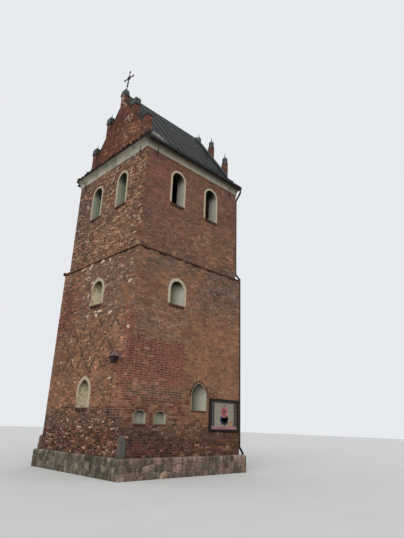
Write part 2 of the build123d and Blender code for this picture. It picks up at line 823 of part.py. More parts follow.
# Roof timbers: plates and ties on the wall heads, rafters and a ridge board
with BuildPart() as roof_timbers:
    rafter_drop = RAFTER_DEPTH * sqrt(1 + ROOF_SLOPE**2)
    rafter_head = RIDGE_TOP - SKIN_DROP
    plate_edge = PLATE_MIDDLE + PLATE_WIDTH / 2
    bearing = (rafter_head - rafter_drop - PLATE_TOP) / ROOF_SLOPE
    rafter_pitch = (2 * SHEET_END - RAFTER_WIDTH) / (RAFTER_PAIRS - 1)
    for side in (RIGHT, LEFT):
        for pair in range(RAFTER_PAIRS):
            along = (pair - (RAFTER_PAIRS - 1) / 2) * rafter_pitch
            with BuildSketch(side.section(0, along)):
                with BuildLine():
                    Polyline(
                        (0, rafter_head),
                        (plate_edge, rafter_head - ROOF_SLOPE * plate_edge),
                        (plate_edge, PLATE_TOP),
                        (bearing, PLATE_TOP),
                        (0, rafter_head - rafter_drop),
                        close=True,
                    )
                make_face()
            extrude(amount=RAFTER_WIDTH / 2, both=True)
        with BuildSketch(side.plan(PLATE_MIDDLE, WALL_HEAD)):
            Rectangle(2 * SHEET_END, PLATE_WIDTH)
        extrude(amount=PLATE_DEPTH)
    with BuildSketch(Plane.XY.offset(rafter_head - ROOF_SLOPE * RIDGE_BOARD / 2 - RIDGE_BOARD_DEPTH)):
        Rectangle(RIDGE_BOARD, 2 * SHEET_END)
    extrude(amount=RIDGE_BOARD_DEPTH)
    with BuildSketch(Plane.XY.offset(WALL_HEAD)):
        with GridLocations(0, TIE_SPACING, 1, 2):
            Rectangle(2 * PLATE_MIDDLE, TIE_WIDTH)
    extrude(amount=TIE_DEPTH)
finish(roof_timbers, "roof_timbers")

# Ridge capping: two sheet-metal wings and a roll
with BuildPart() as ridge_cap:
    with BuildSketch(RIGHT.section(0)):
        with BuildLine():
            Polyline(
                (0, RIDGE_TOP),
                (RIDGE_WING, RIDGE_TOP - ROOF_SLOPE * RIDGE_WING),
                (RIDGE_WING, RIDGE_TOP - ROOF_SLOPE * RIDGE_WING + RIDGE_SHEET),
                (0, RIDGE_TOP + RIDGE_SHEET),
                (-RIDGE_WING, RIDGE_TOP - ROOF_SLOPE * RIDGE_WING + RIDGE_SHEET),
                (-RIDGE_WING, RIDGE_TOP - ROOF_SLOPE * RIDGE_WING),
                close=True,
            )
        make_face()
        with Locations((0, RIDGE_TOP + RIDGE_SHEET)):
            Circle(RIDGE_ROLL)
        with BuildLine():
            Polyline(
                (0, RIDGE_TOP),
                (RIDGE_WING, RIDGE_TOP - ROOF_SLOPE * RIDGE_WING),
                (-RIDGE_WING, RIDGE_TOP - ROOF_SLOPE * RIDGE_WING),
                close=True,
            )
        make_face(mode=Mode.SUBTRACT)
    extrude(amount=SHEET_END, both=True)
finish(ridge_cap, "ridge_cap")

# Iron cross on the front apex, leaning a little to the right
with BuildPart() as gable_cross:
    cross_foot = max(FRONT_TOPS) + FRONT_CAP_HEIGHTS[2]
    lean = radians(CROSS_LEAN)
    cross_plane = Plane(
        origin=(GABLE_SHIFT + CROSS_SHIFT, cap_y, cross_foot),
        x_dir=(cos(lean), 0, -sin(lean)),
        z_dir=(0, -1, 0),
    )
    with BuildSketch(cross_plane):
        with Locations((0, -CROSS_BAR)):
            Rectangle(CROSS_BAR, CROSS_HEIGHT + CROSS_BAR, align=(Align.CENTER, Align.MIN))
        with Locations((0, CROSS_ARM_HEIGHT)):
            Rectangle(CROSS_SPAN, CROSS_BAR)
            Circle(CROSS_RING)
            Circle(CROSS_RING - CROSS_RING_BAR, mode=Mode.SUBTRACT)
            Rectangle(CROSS_BAR, 2 * CROSS_RING)
            Rectangle(2 * CROSS_RING, CROSS_BAR)
        for height in CROSS_SCROLL_HEIGHTS:
            with Locations((0, height)):
                Circle(CROSS_SCROLL)
                Circle(CROSS_SCROLL - CROSS_RING_BAR, mode=Mode.SUBTRACT)
                Rectangle(CROSS_BAR, 2 * CROSS_SCROLL)
        ends = [(-CROSS_SPAN / 2, CROSS_ARM_HEIGHT), (CROSS_SPAN / 2, CROSS_ARM_HEIGHT), (0, CROSS_HEIGHT)]
        for end in ends:
            with Locations(end):
                with PolarLocations(CROSS_KNOB_SPREAD, 4):
                    Circle(CROSS_KNOB / 2)
                Circle(CROSS_KNOB / 2)
    extrude(amount=CROSS_BAR / 2, both=True)
    split(bisect_by=Plane.XY.offset(cross_foot), keep=Keep.TOP)
finish(gable_cross, "gable_cross")

# Half-round gutters along both eaves
GUTTER_MIDDLE = EAVES_REACH + GUTTER_RADIUS
GUTTER_TOP = EAVES_HEIGHT - GUTTER_BELOW_EAVES
with BuildPart() as gutters:
    for side in (RIGHT, LEFT):
        for start, length, is_trough in (
            (-EAVES_RUN, 2 * EAVES_RUN, True),
            (-EAVES_RUN, GUTTER_SKIN, False),
            (EAVES_RUN - GUTTER_SKIN, GUTTER_SKIN, False),
        ):
            with BuildSketch(side.section(0, start)):
                with Locations((GUTTER_MIDDLE, GUTTER_TOP)):
                    Circle(GUTTER_RADIUS)
                    if is_trough:
                        Circle(GUTTER_RADIUS - GUTTER_SKIN, mode=Mode.SUBTRACT)
                    Rectangle(
                        2 * GUTTER_RADIUS,
                        GUTTER_RADIUS,
                        align=(Align.CENTER, Align.MIN),
                        mode=Mode.SUBTRACT,
                    )
                with Locations((EAVES_REACH, GUTTER_TOP)):
                    Rectangle(GUTTER_SKIN, GUTTER_LIP, align=(Align.MIN, Align.MIN))
            extrude(amount=-length)
finish(gutters, "gutters")

# Downpipes on the back face, one beside each corner
LOWER_HALF = TOWER_DEPTH / 2
UPPER_HALF = UPPER_DEPTH / 2
PIPE_STAND = PIPE_CLEAR + PIPE_RADIUS
with BuildPart() as downpipes:
    for sign in (1, -1):
        upper_x = sign * (UPPER_WIDTH / 2 - PIPE_CORNER)
        lower_x = sign * (TOWER_WIDTH / 2 - PIPE_CORNER)
        upper_y = UPPER_HALF + PIPE_STAND
        lower_y = LOWER_HALF + STRING_PROUD + PIPE_RADIUS + PIPE_STRING_GAP
        foot_y = LOWER_HALF + PLINTH_PROUD + PIPE_STAND
        with BuildLine() as route:
            Polyline(
                (sign * GUTTER_MIDDLE, EAVES_RUN - PIPE_INSET, GUTTER_TOP - GUTTER_RADIUS),
                (sign * GUTTER_MIDDLE, EAVES_RUN - PIPE_INSET, CORNICE_BOTTOM + PIPE_NECK_RISE),
                (upper_x, upper_y, CORNICE_BOTTOM - PIPE_NECK_DROP),
                (upper_x, upper_y, STRING_TOP + PIPE_NECK_DROP),
                (lower_x, lower_y, STRING_TOP + PIPE_NECK_RISE),
                (lower_x, lower_y, PLINTH_TOP + PIPE_NECK_DROP),
                (lower_x, foot_y, PLINTH_TOP + PIPE_NECK_RISE),
                (lower_x, foot_y, PIPE_FOOT),
            )
        with BuildSketch(Plane(origin=route.line @ 0, z_dir=route.line % 0)):
            Circle(PIPE_RADIUS)
            Circle(PIPE_RADIUS - PIPE_SKIN, mode=Mode.SUBTRACT)
        sweep(path=route.line, transition=Transition.RIGHT)
        clips = [(upper_x, upper_y, UPPER_HALF, STRING_TOP + rise) for rise in UPPER_CLIP_RISES]
        clips += [(lower_x, lower_y, LOWER_HALF, PLINTH_TOP + rise) for rise in LOWER_CLIP_RISES]
        for clip_x, clip_y, wall_y, height in clips:
            with BuildSketch(Plane.XY.offset(height)):
                with Locations((clip_x, wall_y)):
                    Rectangle(
                        PIPE_CLIP,
                        clip_y - PIPE_RADIUS + PIPE_SKIN / 2 - wall_y,
                        align=(Align.CENTER, Align.MIN),
                    )
            extrude(amount=PIPE_CLIP)
finish(downpipes, "downpipes")

# Wall anchors: a flat iron bar on the end of each tie rod
with BuildPart() as wall_anchors:
    anchor_bottom = CORNICE_BOTTOM - ANCHOR_BELOW_CORNICE
    for side in SIDES:
        distance = side.half(UPPER_WIDTH, UPPER_DEPTH)
        across = (UPPER_WIDTH if side.outward.X == 0 else UPPER_DEPTH) / 2 - ANCHOR_INSET
        shift = STREET_ANCHOR_SHIFT if side is FRONT else 0
        for middle in (-across, across + shift):
            with BuildSketch(side.face(distance + ANCHOR_STAND)):
                with BuildLine():
                    Polyline(
                        (middle - ANCHOR_WIDTH / 2, anchor_bottom),
                        (middle + ANCHOR_WIDTH / 2, anchor_bottom),
                        (middle + ANCHOR_TIP / 2, anchor_bottom + ANCHOR_LENGTH),
                        (middle - ANCHOR_TIP / 2, anchor_bottom + ANCHOR_LENGTH),
                        close=True,
                    )
                make_face()
            extrude(amount=ANCHOR_THICK)
            with BuildSketch(side.face(distance)):
                with Locations((middle, CORNICE_BOTTOM - TIE_ROD_BELOW_CORNICE)):
                    Circle(TIE_ROD_RADIUS)
            extrude(amount=ANCHOR_STAND)
finish(wall_anchors, "wall_anchors")

# Plaster surrounds and brick sills of the niches and windows
for side in SIDES:
    surround_piece(f"surrounds_{side.name}", side)

with BuildPart() as window_sills:
    for side in SIDES:
        for opening, distance in framed_openings(side):
            with BuildPart(mode=Mode.PRIVATE) as sill:
                with BuildSketch(side.section(distance, opening.middle)):
                    with BuildLine():
                        Polyline(
                            (SILL_PROUD, opening.bottom),
                            (SILL_PROUD, opening.bottom + SILL_THICK - SILL_FALL),
                            (0, opening.bottom + SILL_THICK),
                            (-opening.depth, opening.bottom + SILL_THICK),
                            (-opening.depth, opening.bottom),
                            close=True,
                        )
                    make_face()
                extrude(amount=opening.width / 2, both=True)
                if opening.domed:
                    with BuildSketch(side.plan(distance, opening.bottom)):
                        with Locations((opening.middle, 0)):
                            Circle(opening.width / 2)
                            Rectangle(
                                opening.width, SILL_PROUD, align=(Align.CENTER, Align.MAX)
                            )
                    extrude(amount=SILL_THICK, mode=Mode.INTERSECT)
            add(sill.part)
finish(window_sills, "window_sills")

# Framed picture on the right wall
PICTURE_PLACE = (
    TOWER_DEPTH / 2 - PICTURE_FROM_CORNER,
    PLINTH_TOP + PICTURE_ABOVE_PLINTH + PICTURE_HEIGHT / 2,
)
PANEL_WIDTH = PICTURE_WIDTH - 2 * PICTURE_FRAME
PANEL_HEIGHT = PICTURE_HEIGHT - 2 * PICTURE_FRAME
with BuildPart() as picture_frame:
    with BuildSketch(RIGHT.face(TOWER_WIDTH / 2)):
        with Locations(PICTURE_PLACE):
            Rectangle(PICTURE_WIDTH, PICTURE_HEIGHT)
            Rectangle(PANEL_WIDTH, PANEL_HEIGHT, mode=Mode.SUBTRACT)
    extrude(amount=PICTURE_DEPTH)
    outer_edges = picture_frame.faces().sort_by(Axis.X)[-1].outer_wire().edges()
    chamfer(outer_edges, PICTURE_BEVEL)
finish(picture_frame, "picture_frame")

with BuildPart() as picture_panel:
    with BuildSketch(RIGHT.face(TOWER_WIDTH / 2)):
        with Locations(PICTURE_PLACE):
            Rectangle(PANEL_WIDTH, PANEL_HEIGHT)
    extrude(amount=PICTURE_PANEL)
finish(picture_panel, "picture_panel")

# Guard stones wrapped round the street corners, standing on the plinth
with BuildPart() as corner_stones:
    for sign, stone_height in ((1, STONE_HEIGHT_NEAR), (-1, STONE_HEIGHT_FAR)):
        stone_width = STONE_PROUD + STONE_WRAP
        middle_x = sign * (TOWER_WIDTH / 2 + (STONE_PROUD - STONE_WRAP) / 2)
        middle_y = -TOWER_DEPTH / 2 - (STONE_PROUD - STONE_WRAP) / 2
        with BuildPart(mode=Mode.PRIVATE) as stone:
            with BuildSketch(Plane((middle_x, middle_y, PLINTH_TOP))):
                Rectangle(stone_width, stone_width)
            extrude(amount=stone_height, taper=STONE_TAPER)
            fillet(stone.edges().group_by(Axis.Z)[-1], STONE_ROUND)
            with BuildSketch(Plane.XY.offset(PLINTH_TOP)):
                Rectangle(TOWER_WIDTH, TOWER_DEPTH)
            extrude(amount=stone_height, mode=Mode.SUBTRACT)
        add(stone.part)
finish(corner_stones, "corner_stones")

# Wall lantern: iron bracket, framed body with a hood, and glass
LANTERN_X = TOWER_WIDTH / 2 - LANTERN_FROM_CORNER
LANTERN_Y = -TOWER_DEPTH / 2 - LANTERN_REACH
LANTERN_BOTTOM = PLINTH_TOP + LANTERN_ABOVE_PLINTH
HOOD_BOTTOM = LANTERN_BOTTOM + LANTERN_BODY
ARM_BOTTOM = HOOD_BOTTOM + HOOD_HEIGHT + 2 * FINIAL_RADIUS
lantern_flare = degrees(atan2((LANTERN_TOP_WIDTH - LANTERN_FOOT_WIDTH) / 2, LANTERN_BODY))

with BuildPart() as lantern_bracket:
    with BuildSketch(FRONT.face(TOWER_DEPTH / 2)):
        with Locations((LANTERN_X, ARM_BOTTOM + ARM_THICK)):
            Rectangle(PLATE_STRAP, PLATE_DROP, align=(Align.CENTER, Align.MAX))
    extrude(amount=PLATE_IRON)
    with BuildSketch(FRONT.section(TOWER_DEPTH / 2, LANTERN_X)):
        with Locations((0, ARM_BOTTOM)):
            Rectangle(LANTERN_REACH + ARM_THICK, ARM_THICK, align=(Align.MIN, Align.MIN))
        with BuildLine():
            brace_foot = ARM_BOTTOM - PLATE_DROP + PLATE_STRAP
            bend_x = BRACE_REACH * BRACE_HOLLOW
            bend_z = ARM_BOTTOM - (ARM_BOTTOM - brace_foot) * BRACE_HOLLOW
            ThreePointArc((PLATE_IRON, brace_foot), (bend_x, bend_z), (BRACE_REACH, ARM_BOTTOM))
            Line((BRACE_REACH, ARM_BOTTOM), (BRACE_REACH + ARM_THICK, ARM_BOTTOM))
            ThreePointArc(
                (BRACE_REACH + ARM_THICK, ARM_BOTTOM),
                (bend_x + ARM_THICK, bend_z - ARM_THICK),
                (PLATE_IRON, brace_foot - ARM_THICK),
            )
            Line((PLATE_IRON, brace_foot - ARM_THICK), (PLATE_IRON, brace_foot))
        make_face()
    extrude(amount=ARM_THICK / 2, both=True)
finish(lantern_bracket, "lantern_bracket")

with BuildPart() as lantern_frame:
    with BuildSketch(Plane((LANTERN_X, LANTERN_Y, LANTERN_BOTTOM))):
        Rectangle(LANTERN_FOOT_WIDTH, LANTERN_FOOT_WIDTH)
    extrude(amount=LANTERN_BODY, taper=-lantern_flare)
    with BuildSketch(Plane((LANTERN_X, LANTERN_Y, LANTERN_BOTTOM + LANTERN_BASE))):
        Rectangle(LANTERN_FOOT_WIDTH - 2 * LANTERN_GLASS_INSET, LANTERN_FOOT_WIDTH - 2 * LANTERN_GLASS_INSET)
    extrude(amount=LANTERN_BODY - 2 * LANTERN_BASE, taper=-lantern_flare, mode=Mode.SUBTRACT)
    for turn in (0, 90):
        window_plane = Plane(
            origin=(LANTERN_X, LANTERN_Y, LANTERN_BOTTOM + LANTERN_BODY / 2),
            x_dir=(cos(radians(turn)), sin(radians(turn)), 0),
            z_dir=(sin(radians(turn)), -cos(radians(turn)), 0),
        )
        with BuildSketch(window_plane):
            with BuildLine():
                low = LANTERN_BODY / 2 - LANTERN_BASE
                foot_half = LANTERN_FOOT_WIDTH / 2 - LANTERN_BAR
                top_half = LANTERN_TOP_WIDTH / 2 - LANTERN_BAR - LANTERN_GLASS_INSET
                Polyline((-foot_half, -low), (foot_half, -low), (top_half, low), (-top_half, low), close=True)
            make_face()
        extrude(amount=LANTERN_TOP_WIDTH, both=True, mode=Mode.SUBTRACT)
    with BuildSketch(Plane((LANTERN_X, LANTERN_Y, HOOD_BOTTOM))):
        Rectangle(LANTERN_TOP_WIDTH + 2 * HOOD_BRIM, LANTERN_TOP_WIDTH + 2 * HOOD_BRIM)
    with BuildSketch(Plane((LANTERN_X, LANTERN_Y, HOOD_BOTTOM + HOOD_HEIGHT))):
        Rectangle(2 * FINIAL_RADIUS, 2 * FINIAL_RADIUS)
    loft()
    with BuildSketch(Plane((LANTERN_X, LANTERN_Y, HOOD_BOTTOM + HOOD_HEIGHT))):
        Circle(FINIAL_RADIUS)
    extrude(amount=2 * FINIAL_RADIUS)
finish(lantern_frame, "lantern_frame")

with BuildPart() as lantern_glass:
    glass_foot = LANTERN_FOOT_WIDTH - 2 * LANTERN_GLASS_INSET
    with BuildSketch(Plane((LANTERN_X, LANTERN_Y, LANTERN_BOTTOM + LANTERN_BASE))):
        Rectangle(glass_foot, glass_foot)
    extrude(amount=LANTERN_BODY - 2 * LANTERN_BASE, taper=-lantern_flare)
    with BuildSketch(Plane((LANTERN_X, LANTERN_Y, LANTERN_BOTTOM + LANTERN_BASE))):
        Rectangle(glass_foot - 2 * LANTERN_GLASS, glass_foot - 2 * LANTERN_GLASS)
    extrude(amount=LANTERN_BODY - 2 * LANTERN_BASE, taper=-lantern_flare, mode=Mode.SUBTRACT)
finish(lantern_glass, "lantern_glass")

# Doorway on the back: a wooden frame, and a boarded leaf that closes against it
with BuildPart() as door_frame:
    with BuildSketch(BACK.face(TOWER_DEPTH / 2 - DOOR_RECESS)):
        add(arch_face("segmental", DOOR_WIDTH, GROUND_FLOOR_THICK, DOOR_CROWN))
        add(
            arch_face("segmental", DOOR_WIDTH, GROUND_FLOOR_THICK, DOOR_CROWN, grow=-DOOR_FRAME),
            mode=Mode.SUBTRACT,
        )
    extrude(amount=-DOOR_FRAME_DEPTH)
finish(door_frame, "door_frame")

with BuildPart() as door_leaf:
    with BuildSketch(BACK.face(TOWER_DEPTH / 2 - DOOR_RECESS)):
        add(
            arch_face(
                "segmental",
                DOOR_WIDTH,
                GROUND_FLOOR_THICK + DOOR_FLOOR_GAP,
                DOOR_CROWN,
                grow=DOOR_LAP - DOOR_FRAME,
            )
        )
    extrude(amount=DOOR_LEAF)
finish(door_leaf, "door_leaf")
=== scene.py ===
"""Finish of a weathered brick bell tower: brickwork, plaster, stone plinth, metal roof and fittings.

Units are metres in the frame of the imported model: ground under the middle of the plan, +Z up, the
street gable on -Y, the eaves face of the photo on +X. A place on a side is given by s, the distance
to the right of its middle as seen from outside, and z, the height.
"""
import functools
import math

import bmesh
import bpy
import numpy as np
from mathutils import Matrix, Vector


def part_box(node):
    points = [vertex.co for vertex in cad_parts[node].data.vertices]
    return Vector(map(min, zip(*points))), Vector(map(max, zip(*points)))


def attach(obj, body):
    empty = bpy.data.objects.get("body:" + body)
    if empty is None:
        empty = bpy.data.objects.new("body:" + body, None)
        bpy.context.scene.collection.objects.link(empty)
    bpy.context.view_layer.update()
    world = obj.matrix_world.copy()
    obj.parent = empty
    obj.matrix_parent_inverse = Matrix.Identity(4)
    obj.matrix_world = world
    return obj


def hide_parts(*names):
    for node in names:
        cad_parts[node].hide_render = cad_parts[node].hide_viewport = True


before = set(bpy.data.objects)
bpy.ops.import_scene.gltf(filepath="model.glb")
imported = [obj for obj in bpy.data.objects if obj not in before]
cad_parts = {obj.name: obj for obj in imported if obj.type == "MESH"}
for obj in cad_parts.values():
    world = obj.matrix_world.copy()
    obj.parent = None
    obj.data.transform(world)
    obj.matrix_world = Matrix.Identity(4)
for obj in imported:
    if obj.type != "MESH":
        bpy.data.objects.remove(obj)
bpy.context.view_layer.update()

# Camera, as worked out from the tower's corners in the photo
PHOTO_SIZE = (404, 538)
CAMERA_PLACE = Vector((18.72, -14.43, 2.15))
CAMERA_TURN = 45.597
CAMERA_TILT = 19.718
CAMERA_ROLL = 1.8371
FOCAL_PIXELS = 434.33
SENSOR_WIDTH = 36.0

# Main sizes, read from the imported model
LOWER_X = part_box("lower_wall_right")[1].x
LOWER_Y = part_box("lower_wall_back")[1].y
UPPER_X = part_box("upper_wall_right")[1].x
UPPER_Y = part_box("upper_wall_back")[1].y
PLINTH_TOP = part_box("plinth_front")[1].z
PLINTH_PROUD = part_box("plinth_right")[1].x - LOWER_X
STRING_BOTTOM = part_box("lower_wall_front")[1].z
STRING_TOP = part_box("upper_wall_front")[0].z
CORNICE_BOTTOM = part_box("cornice_front")[0].z
WALL_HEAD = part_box("cornice_front")[1].z
RIDGE_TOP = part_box("roof_slope_right")[1].z
GABLE_FACE = -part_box("gable_front")[0].y
GABLE_BACK = -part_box("gable_front")[1].y
DRIP_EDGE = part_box("cornice_ledge")[1].x
LEDGE_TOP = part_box("cornice_ledge")[1].z

# Sizes of the walls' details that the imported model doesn't give by itself
LOWER_WALL = 1.25
PLINTH_BEVEL = 0.06
STRING_PROUD = 0.05
NICHE_BAND = 0.135
WINDOW_BAND = 0.092
SILL_THICK = 0.07
SILL_DROP = 0.025
POINTED_RISE = 0.6
SEGMENT_RISE = 0.21
GABLE_SHIFT = 0.07
SHAFT_SPACING = 1.255
FRONT_SHAFT = 0.35
BACK_SHAFT = 0.24
RAKE_TOP = RIDGE_TOP - 1.05
RAKE_SLOPE = 1.28
RAKE_LIFTS = {"front": (0.12, 0.60), "back": (0.0, 0.0)}
SHAFT_RISES = {"front": [0.960, 0.990, 0.790, 1.030, 1.210], "back": [1.103, 1.330, 0.700, 1.330, 1.103]}
BELLCAST_X = 3.02
BELLCAST_Z = 16.491
EAVES_X = 3.51
EAVES_Z = 16.030
SHEET_END = 2.89
RIDGE_WING = 0.16
ROOF_SLOPE = (RIDGE_TOP - BELLCAST_Z) / BELLCAST_X
DRIP_REACH = DRIP_EDGE - UPPER_X
STRING_NOSE = 0.055
DOOR_FACE = LOWER_Y - 0.45 + 0.06
PICTURE_GROUND = 0.03

# Brickwork
COURSE = 0.1046
JOINT = 0.019
STRETCHER = 0.29
HEADER = 0.14
ARRIS = 0.006
ROOT = -0.004
RING = 0.14
STEPS = range(-2, 3)

UP = np.array((0, 0, 1.0))
HALVES = {"lower": (LOWER_X, LOWER_Y), "upper": (UPPER_X, UPPER_Y)}


class Side:
    """One face of the tower: its outward direction and the direction to the right on it."""

    def __init__(self, name, outward, right):
        self.name = name
        self.outward = np.array(outward, float)
        self.right = np.array(right, float)
        self.axes = (self.right, self.outward, UP)
        self.across = 0 if self.outward[0] == 0 else 1

    def reach(self, x, y):
        """Distance from the middle of the plan to this face, where x and y are half the plan's sizes."""
        return (y, x)[self.across]

    def length(self, x, y):
        """Half the length of this face, where x and y are half the plan's sizes."""
        return (x, y)[self.across]

    def face(self, stage):
        """Distance from the middle of the plan to the wall of one stage."""
        return self.reach(*HALVES[stage])

    def place(self, s, z, out):
        """Points in the tower's frame from places on this side; out is measured from the middle."""
        s, z, out = np.broadcast_arrays(s, z, out)
        return s[..., None] * self.right + out[..., None] * self.outward + z[..., None] * UP


FRONT = Side("front", (0, -1, 0), (1, 0, 0))
RIGHT = Side("right", (1, 0, 0), (0, 1, 0))
BACK = Side("back", (0, 1, 0), (-1, 0, 0))
LEFT = Side("left", (-1, 0, 0), (0, -1, 0))
SIDES = [FRONT, RIGHT, BACK, LEFT]

# Points on each jamb and each half arch from which an opening's outline is measured
FOOT_SAMPLES = 40
ARCH_SAMPLES = 60


class Opening:
    """A niche, window or doorway of the model: its arch, its place on a side and its trim."""

    def __init__(self, kind, middle, bottom, crown, width, band=0.0):
        self.kind = kind
        self.middle = middle
        self.bottom = bottom
        self.crown = crown
        self.half = width / 2
        self.band = band
        if kind == "round":
            rise = self.radius = self.half
        elif kind == "pointed":
            rise = POINTED_RISE * width
            self.radius = (rise**2 + self.half**2) / width
        else:
            rise = SEGMENT_RISE * width
            self.radius = (rise**2 + self.half**2) / (2 * rise)
        self.spring = crown - rise

    def top(self, grow):
        """Height of the crown when the outline is grown by a margin."""
        if self.kind == "pointed":
            return self.spring + math.sqrt((self.radius + grow) ** 2 - (self.radius - self.half) ** 2)
        return self.crown + grow

    def half_at(self, z, grow):
        """Half the width at one height, grown by a margin, and 0 above the crown."""
        edge = self.half + grow
        if z <= self.spring:
            return edge
        if z >= self.top(grow):
            return 0.0
        reach = self.radius + grow
        if self.kind == "pointed":
            return math.sqrt(max(reach**2 - (z - self.spring) ** 2, 0)) - (self.radius - self.half)
        centre = self.crown - self.radius
        return min(edge, math.sqrt(max(reach**2 - (z - centre) ** 2, 0)))

    def outline(self, grow, foot, pitch):
        """Evenly spaced points and outward directions from the left foot over the arch to the right foot."""
        dense = [(-self.half - grow, z) for z in np.linspace(foot, self.spring, FOOT_SAMPLES)]
        for share in np.linspace(0, 1, ARCH_SAMPLES)[1:]:
            z = self.spring + (self.top(grow) - self.spring) * math.sin(share * math.pi / 2)
            dense.append((-self.half_at(z, grow), z))
        left = np.array(dense)
        whole = np.vstack([left, (left * (-1, 1))[-2::-1]])
        steps = np.hypot(*np.diff(whole, axis=0).T)
        along = np.concatenate([[0], np.cumsum(steps)])
        count = max(int(round(along[-1] / pitch)), 2)
        marks = np.linspace(0, along[-1], count + 1)
        points = np.column_stack([np.interp(marks, along, values) for values in whole.T])
        tangent = np.gradient(points, axis=0)
        tangent /= np.linalg.norm(tangent, axis=1)[:, None]
        outward = np.column_stack([-tangent[:, 1], tangent[:, 0]])
        return points + (self.middle, 0), outward


# Bottom and crown of the openings that are alike
HIGH_NICHE = (7.49, 8.75)
SMALL_NICHE = (2.045, 2.665)
FRONT_WINDOW = (12.74, 14.71)
SIDE_WINDOW = (12.88, 14.85)


def niche(middle, heights=HIGH_NICHE, width=0.90):
    """A round niche with a plastered band."""
    return Opening("round", middle, *heights, width, NICHE_BAND)


def window(middle, heights, width):
    """A sound opening of the belfry."""
    return Opening("round", middle, *heights, width, WINDOW_BAND)


OPENINGS = {
    ("lower", "front"): [
        Opening("pointed", 0.05, 2.66, 4.00, 0.95, NICHE_BAND),
        niche(0.25, (7.49, 8.80), 0.95),
    ],
    ("lower", "right"): [
        Opening("pointed", 0.65, 2.70, 4.03, 1.00),
        Opening("segmental", -2.79, *SMALL_NICHE, 0.62),
        Opening("segmental", -1.67, *SMALL_NICHE, 0.62),
        niche(-1.06),
    ],
    ("lower", "back"): [Opening("segmental", 0.0, 0.0, 2.75, 1.10), niche(0.0)],
    ("lower", "left"): [Opening("pointed", 0.0, 2.70, 4.03, 1.00, NICHE_BAND), niche(0.0)],
    ("upper", "front"): [window(-1.15, FRONT_WINDOW, 0.89), window(1.25, FRONT_WINDOW, 0.83)],
    ("upper", "right"): [window(-1.235, SIDE_WINDOW, 0.87), window(1.25, SIDE_WINDOW, 0.89)],
    ("upper", "back"): [window(-1.225, FRONT_WINDOW, 0.89), window(1.225, FRONT_WINDOW, 0.89)],
    ("upper", "left"): [window(-1.235, SIDE_WINDOW, 0.87), window(1.235, SIDE_WINDOW, 0.87)],
}


CLOUD_CELLS = 64


def cloud(x, y, cell, seed):
    """Smooth noise from 0 to 1 over a plane, with blobs of about one cell."""
    table = np.random.default_rng(seed).random((CLOUD_CELLS, CLOUD_CELLS))
    u = np.asarray(x, float) / cell + 1000
    v = np.asarray(y, float) / cell + 1000
    i = np.floor(u).astype(int)
    j = np.floor(v).astype(int)
    a = u - i
    b = v - j
    a = a * a * (3 - 2 * a)
    b = b * b * (3 - 2 * b)
    i0, i1, j0, j1 = (k % CLOUD_CELLS for k in (i, i + 1, j, j + 1))
    low = table[i0, j0] * (1 - a) + table[i1, j0] * a
    high = table[i0, j1] * (1 - a) + table[i1, j1] * a
    return low * (1 - b) + high * b


# Brick shades, as sRGB from 0 to 255, and each one's share of its palette
PALETTES = {
    "weathered": [
        (112, 74, 58, 4), (84, 58, 47, 2.6), (140, 100, 74, 3), (166, 130, 106, 1.2),
        (118, 66, 53, 2), (98, 80, 62, 2),
    ],
    "tan": [(142, 104, 76, 4), (122, 84, 62, 3), (164, 128, 100, 2), (98, 70, 54, 1)],
    # The soot palette also paints the dark row under the string course, which is painted shadow of the course
    "soot": [(58, 42, 36, 4), (44, 34, 30, 3), (76, 54, 44, 1)],
    "bruise": [(86, 69, 62, 4), (68, 56, 52, 3), (118, 94, 84, 1.5)],
    "belfry": [(118, 84, 69, 5), (108, 75, 62, 4), (130, 93, 74, 2), (94, 69, 59, 0.8), (120, 74, 62, 0.8)],
    "belfry_pink": [(124, 78, 68, 5), (110, 70, 62, 3), (136, 90, 76, 1)],
    "belfry_orange": [(132, 96, 74, 4), (120, 85, 65, 3), (146, 110, 86, 1.5), (98, 72, 60, 0.8)],
    "brown": [(124, 88, 69, 4), (110, 77, 61, 3), (138, 100, 78, 2), (94, 67, 56, 0.8), (150, 118, 98, 0.5)],
    "purple": [
        (114, 90, 77, 4), (98, 77, 68, 3), (132, 106, 90, 2.5), (120, 80, 67, 2), (158, 134, 116, 0.8),
    ],
    "deep_red": [(106, 56, 47, 4), (92, 51, 44, 3), (122, 68, 56, 2), (80, 54, 47, 1), (138, 94, 76, 0.6)],
    "orange": [(136, 96, 71, 5), (124, 85, 63, 3), (148, 107, 80, 2), (110, 77, 58, 0.6)],
    "new_red": [(108, 61, 50, 5), (102, 57, 47, 3), (118, 69, 56, 2)],
    # Eroded bricks: darker, partly their own worn colour and partly painted shade of their sunken courses
    "eroded_painted_shade": [(78, 58, 47, 4), (92, 66, 51, 3), (66, 50, 42, 2), (104, 73, 56, 1.5), (130, 102, 84, 0.4)],
    "rough": [(86, 50, 38, 4), (102, 64, 48, 2.5), (50, 35, 30, 3.5), (140, 114, 94, 0.4)],
    "stained": [(88, 76, 66, 4), (102, 83, 70, 3), (76, 67, 60, 1.5), (118, 94, 78, 2), (142, 122, 104, 0.8)],
    "lime": [(138, 111, 92, 4), (126, 94, 77, 3), (152, 127, 108, 1.5), (108, 81, 67, 2)],
    "gable": [(102, 55, 43, 5), (90, 48, 40, 3), (114, 66, 52, 2), (76, 48, 41, 1.2), (120, 78, 58, 1)],
    "gable_dark": [(86, 60, 54, 4), (70, 54, 50, 3), (110, 68, 58, 2)],
    "apex": [(96, 76, 66, 4), (76, 62, 56, 2), (168, 150, 134, 1.6), (116, 72, 60, 2)],
    "green": [(92, 73, 58, 4), (80, 65, 53, 3), (104, 76, 60, 2)],
}

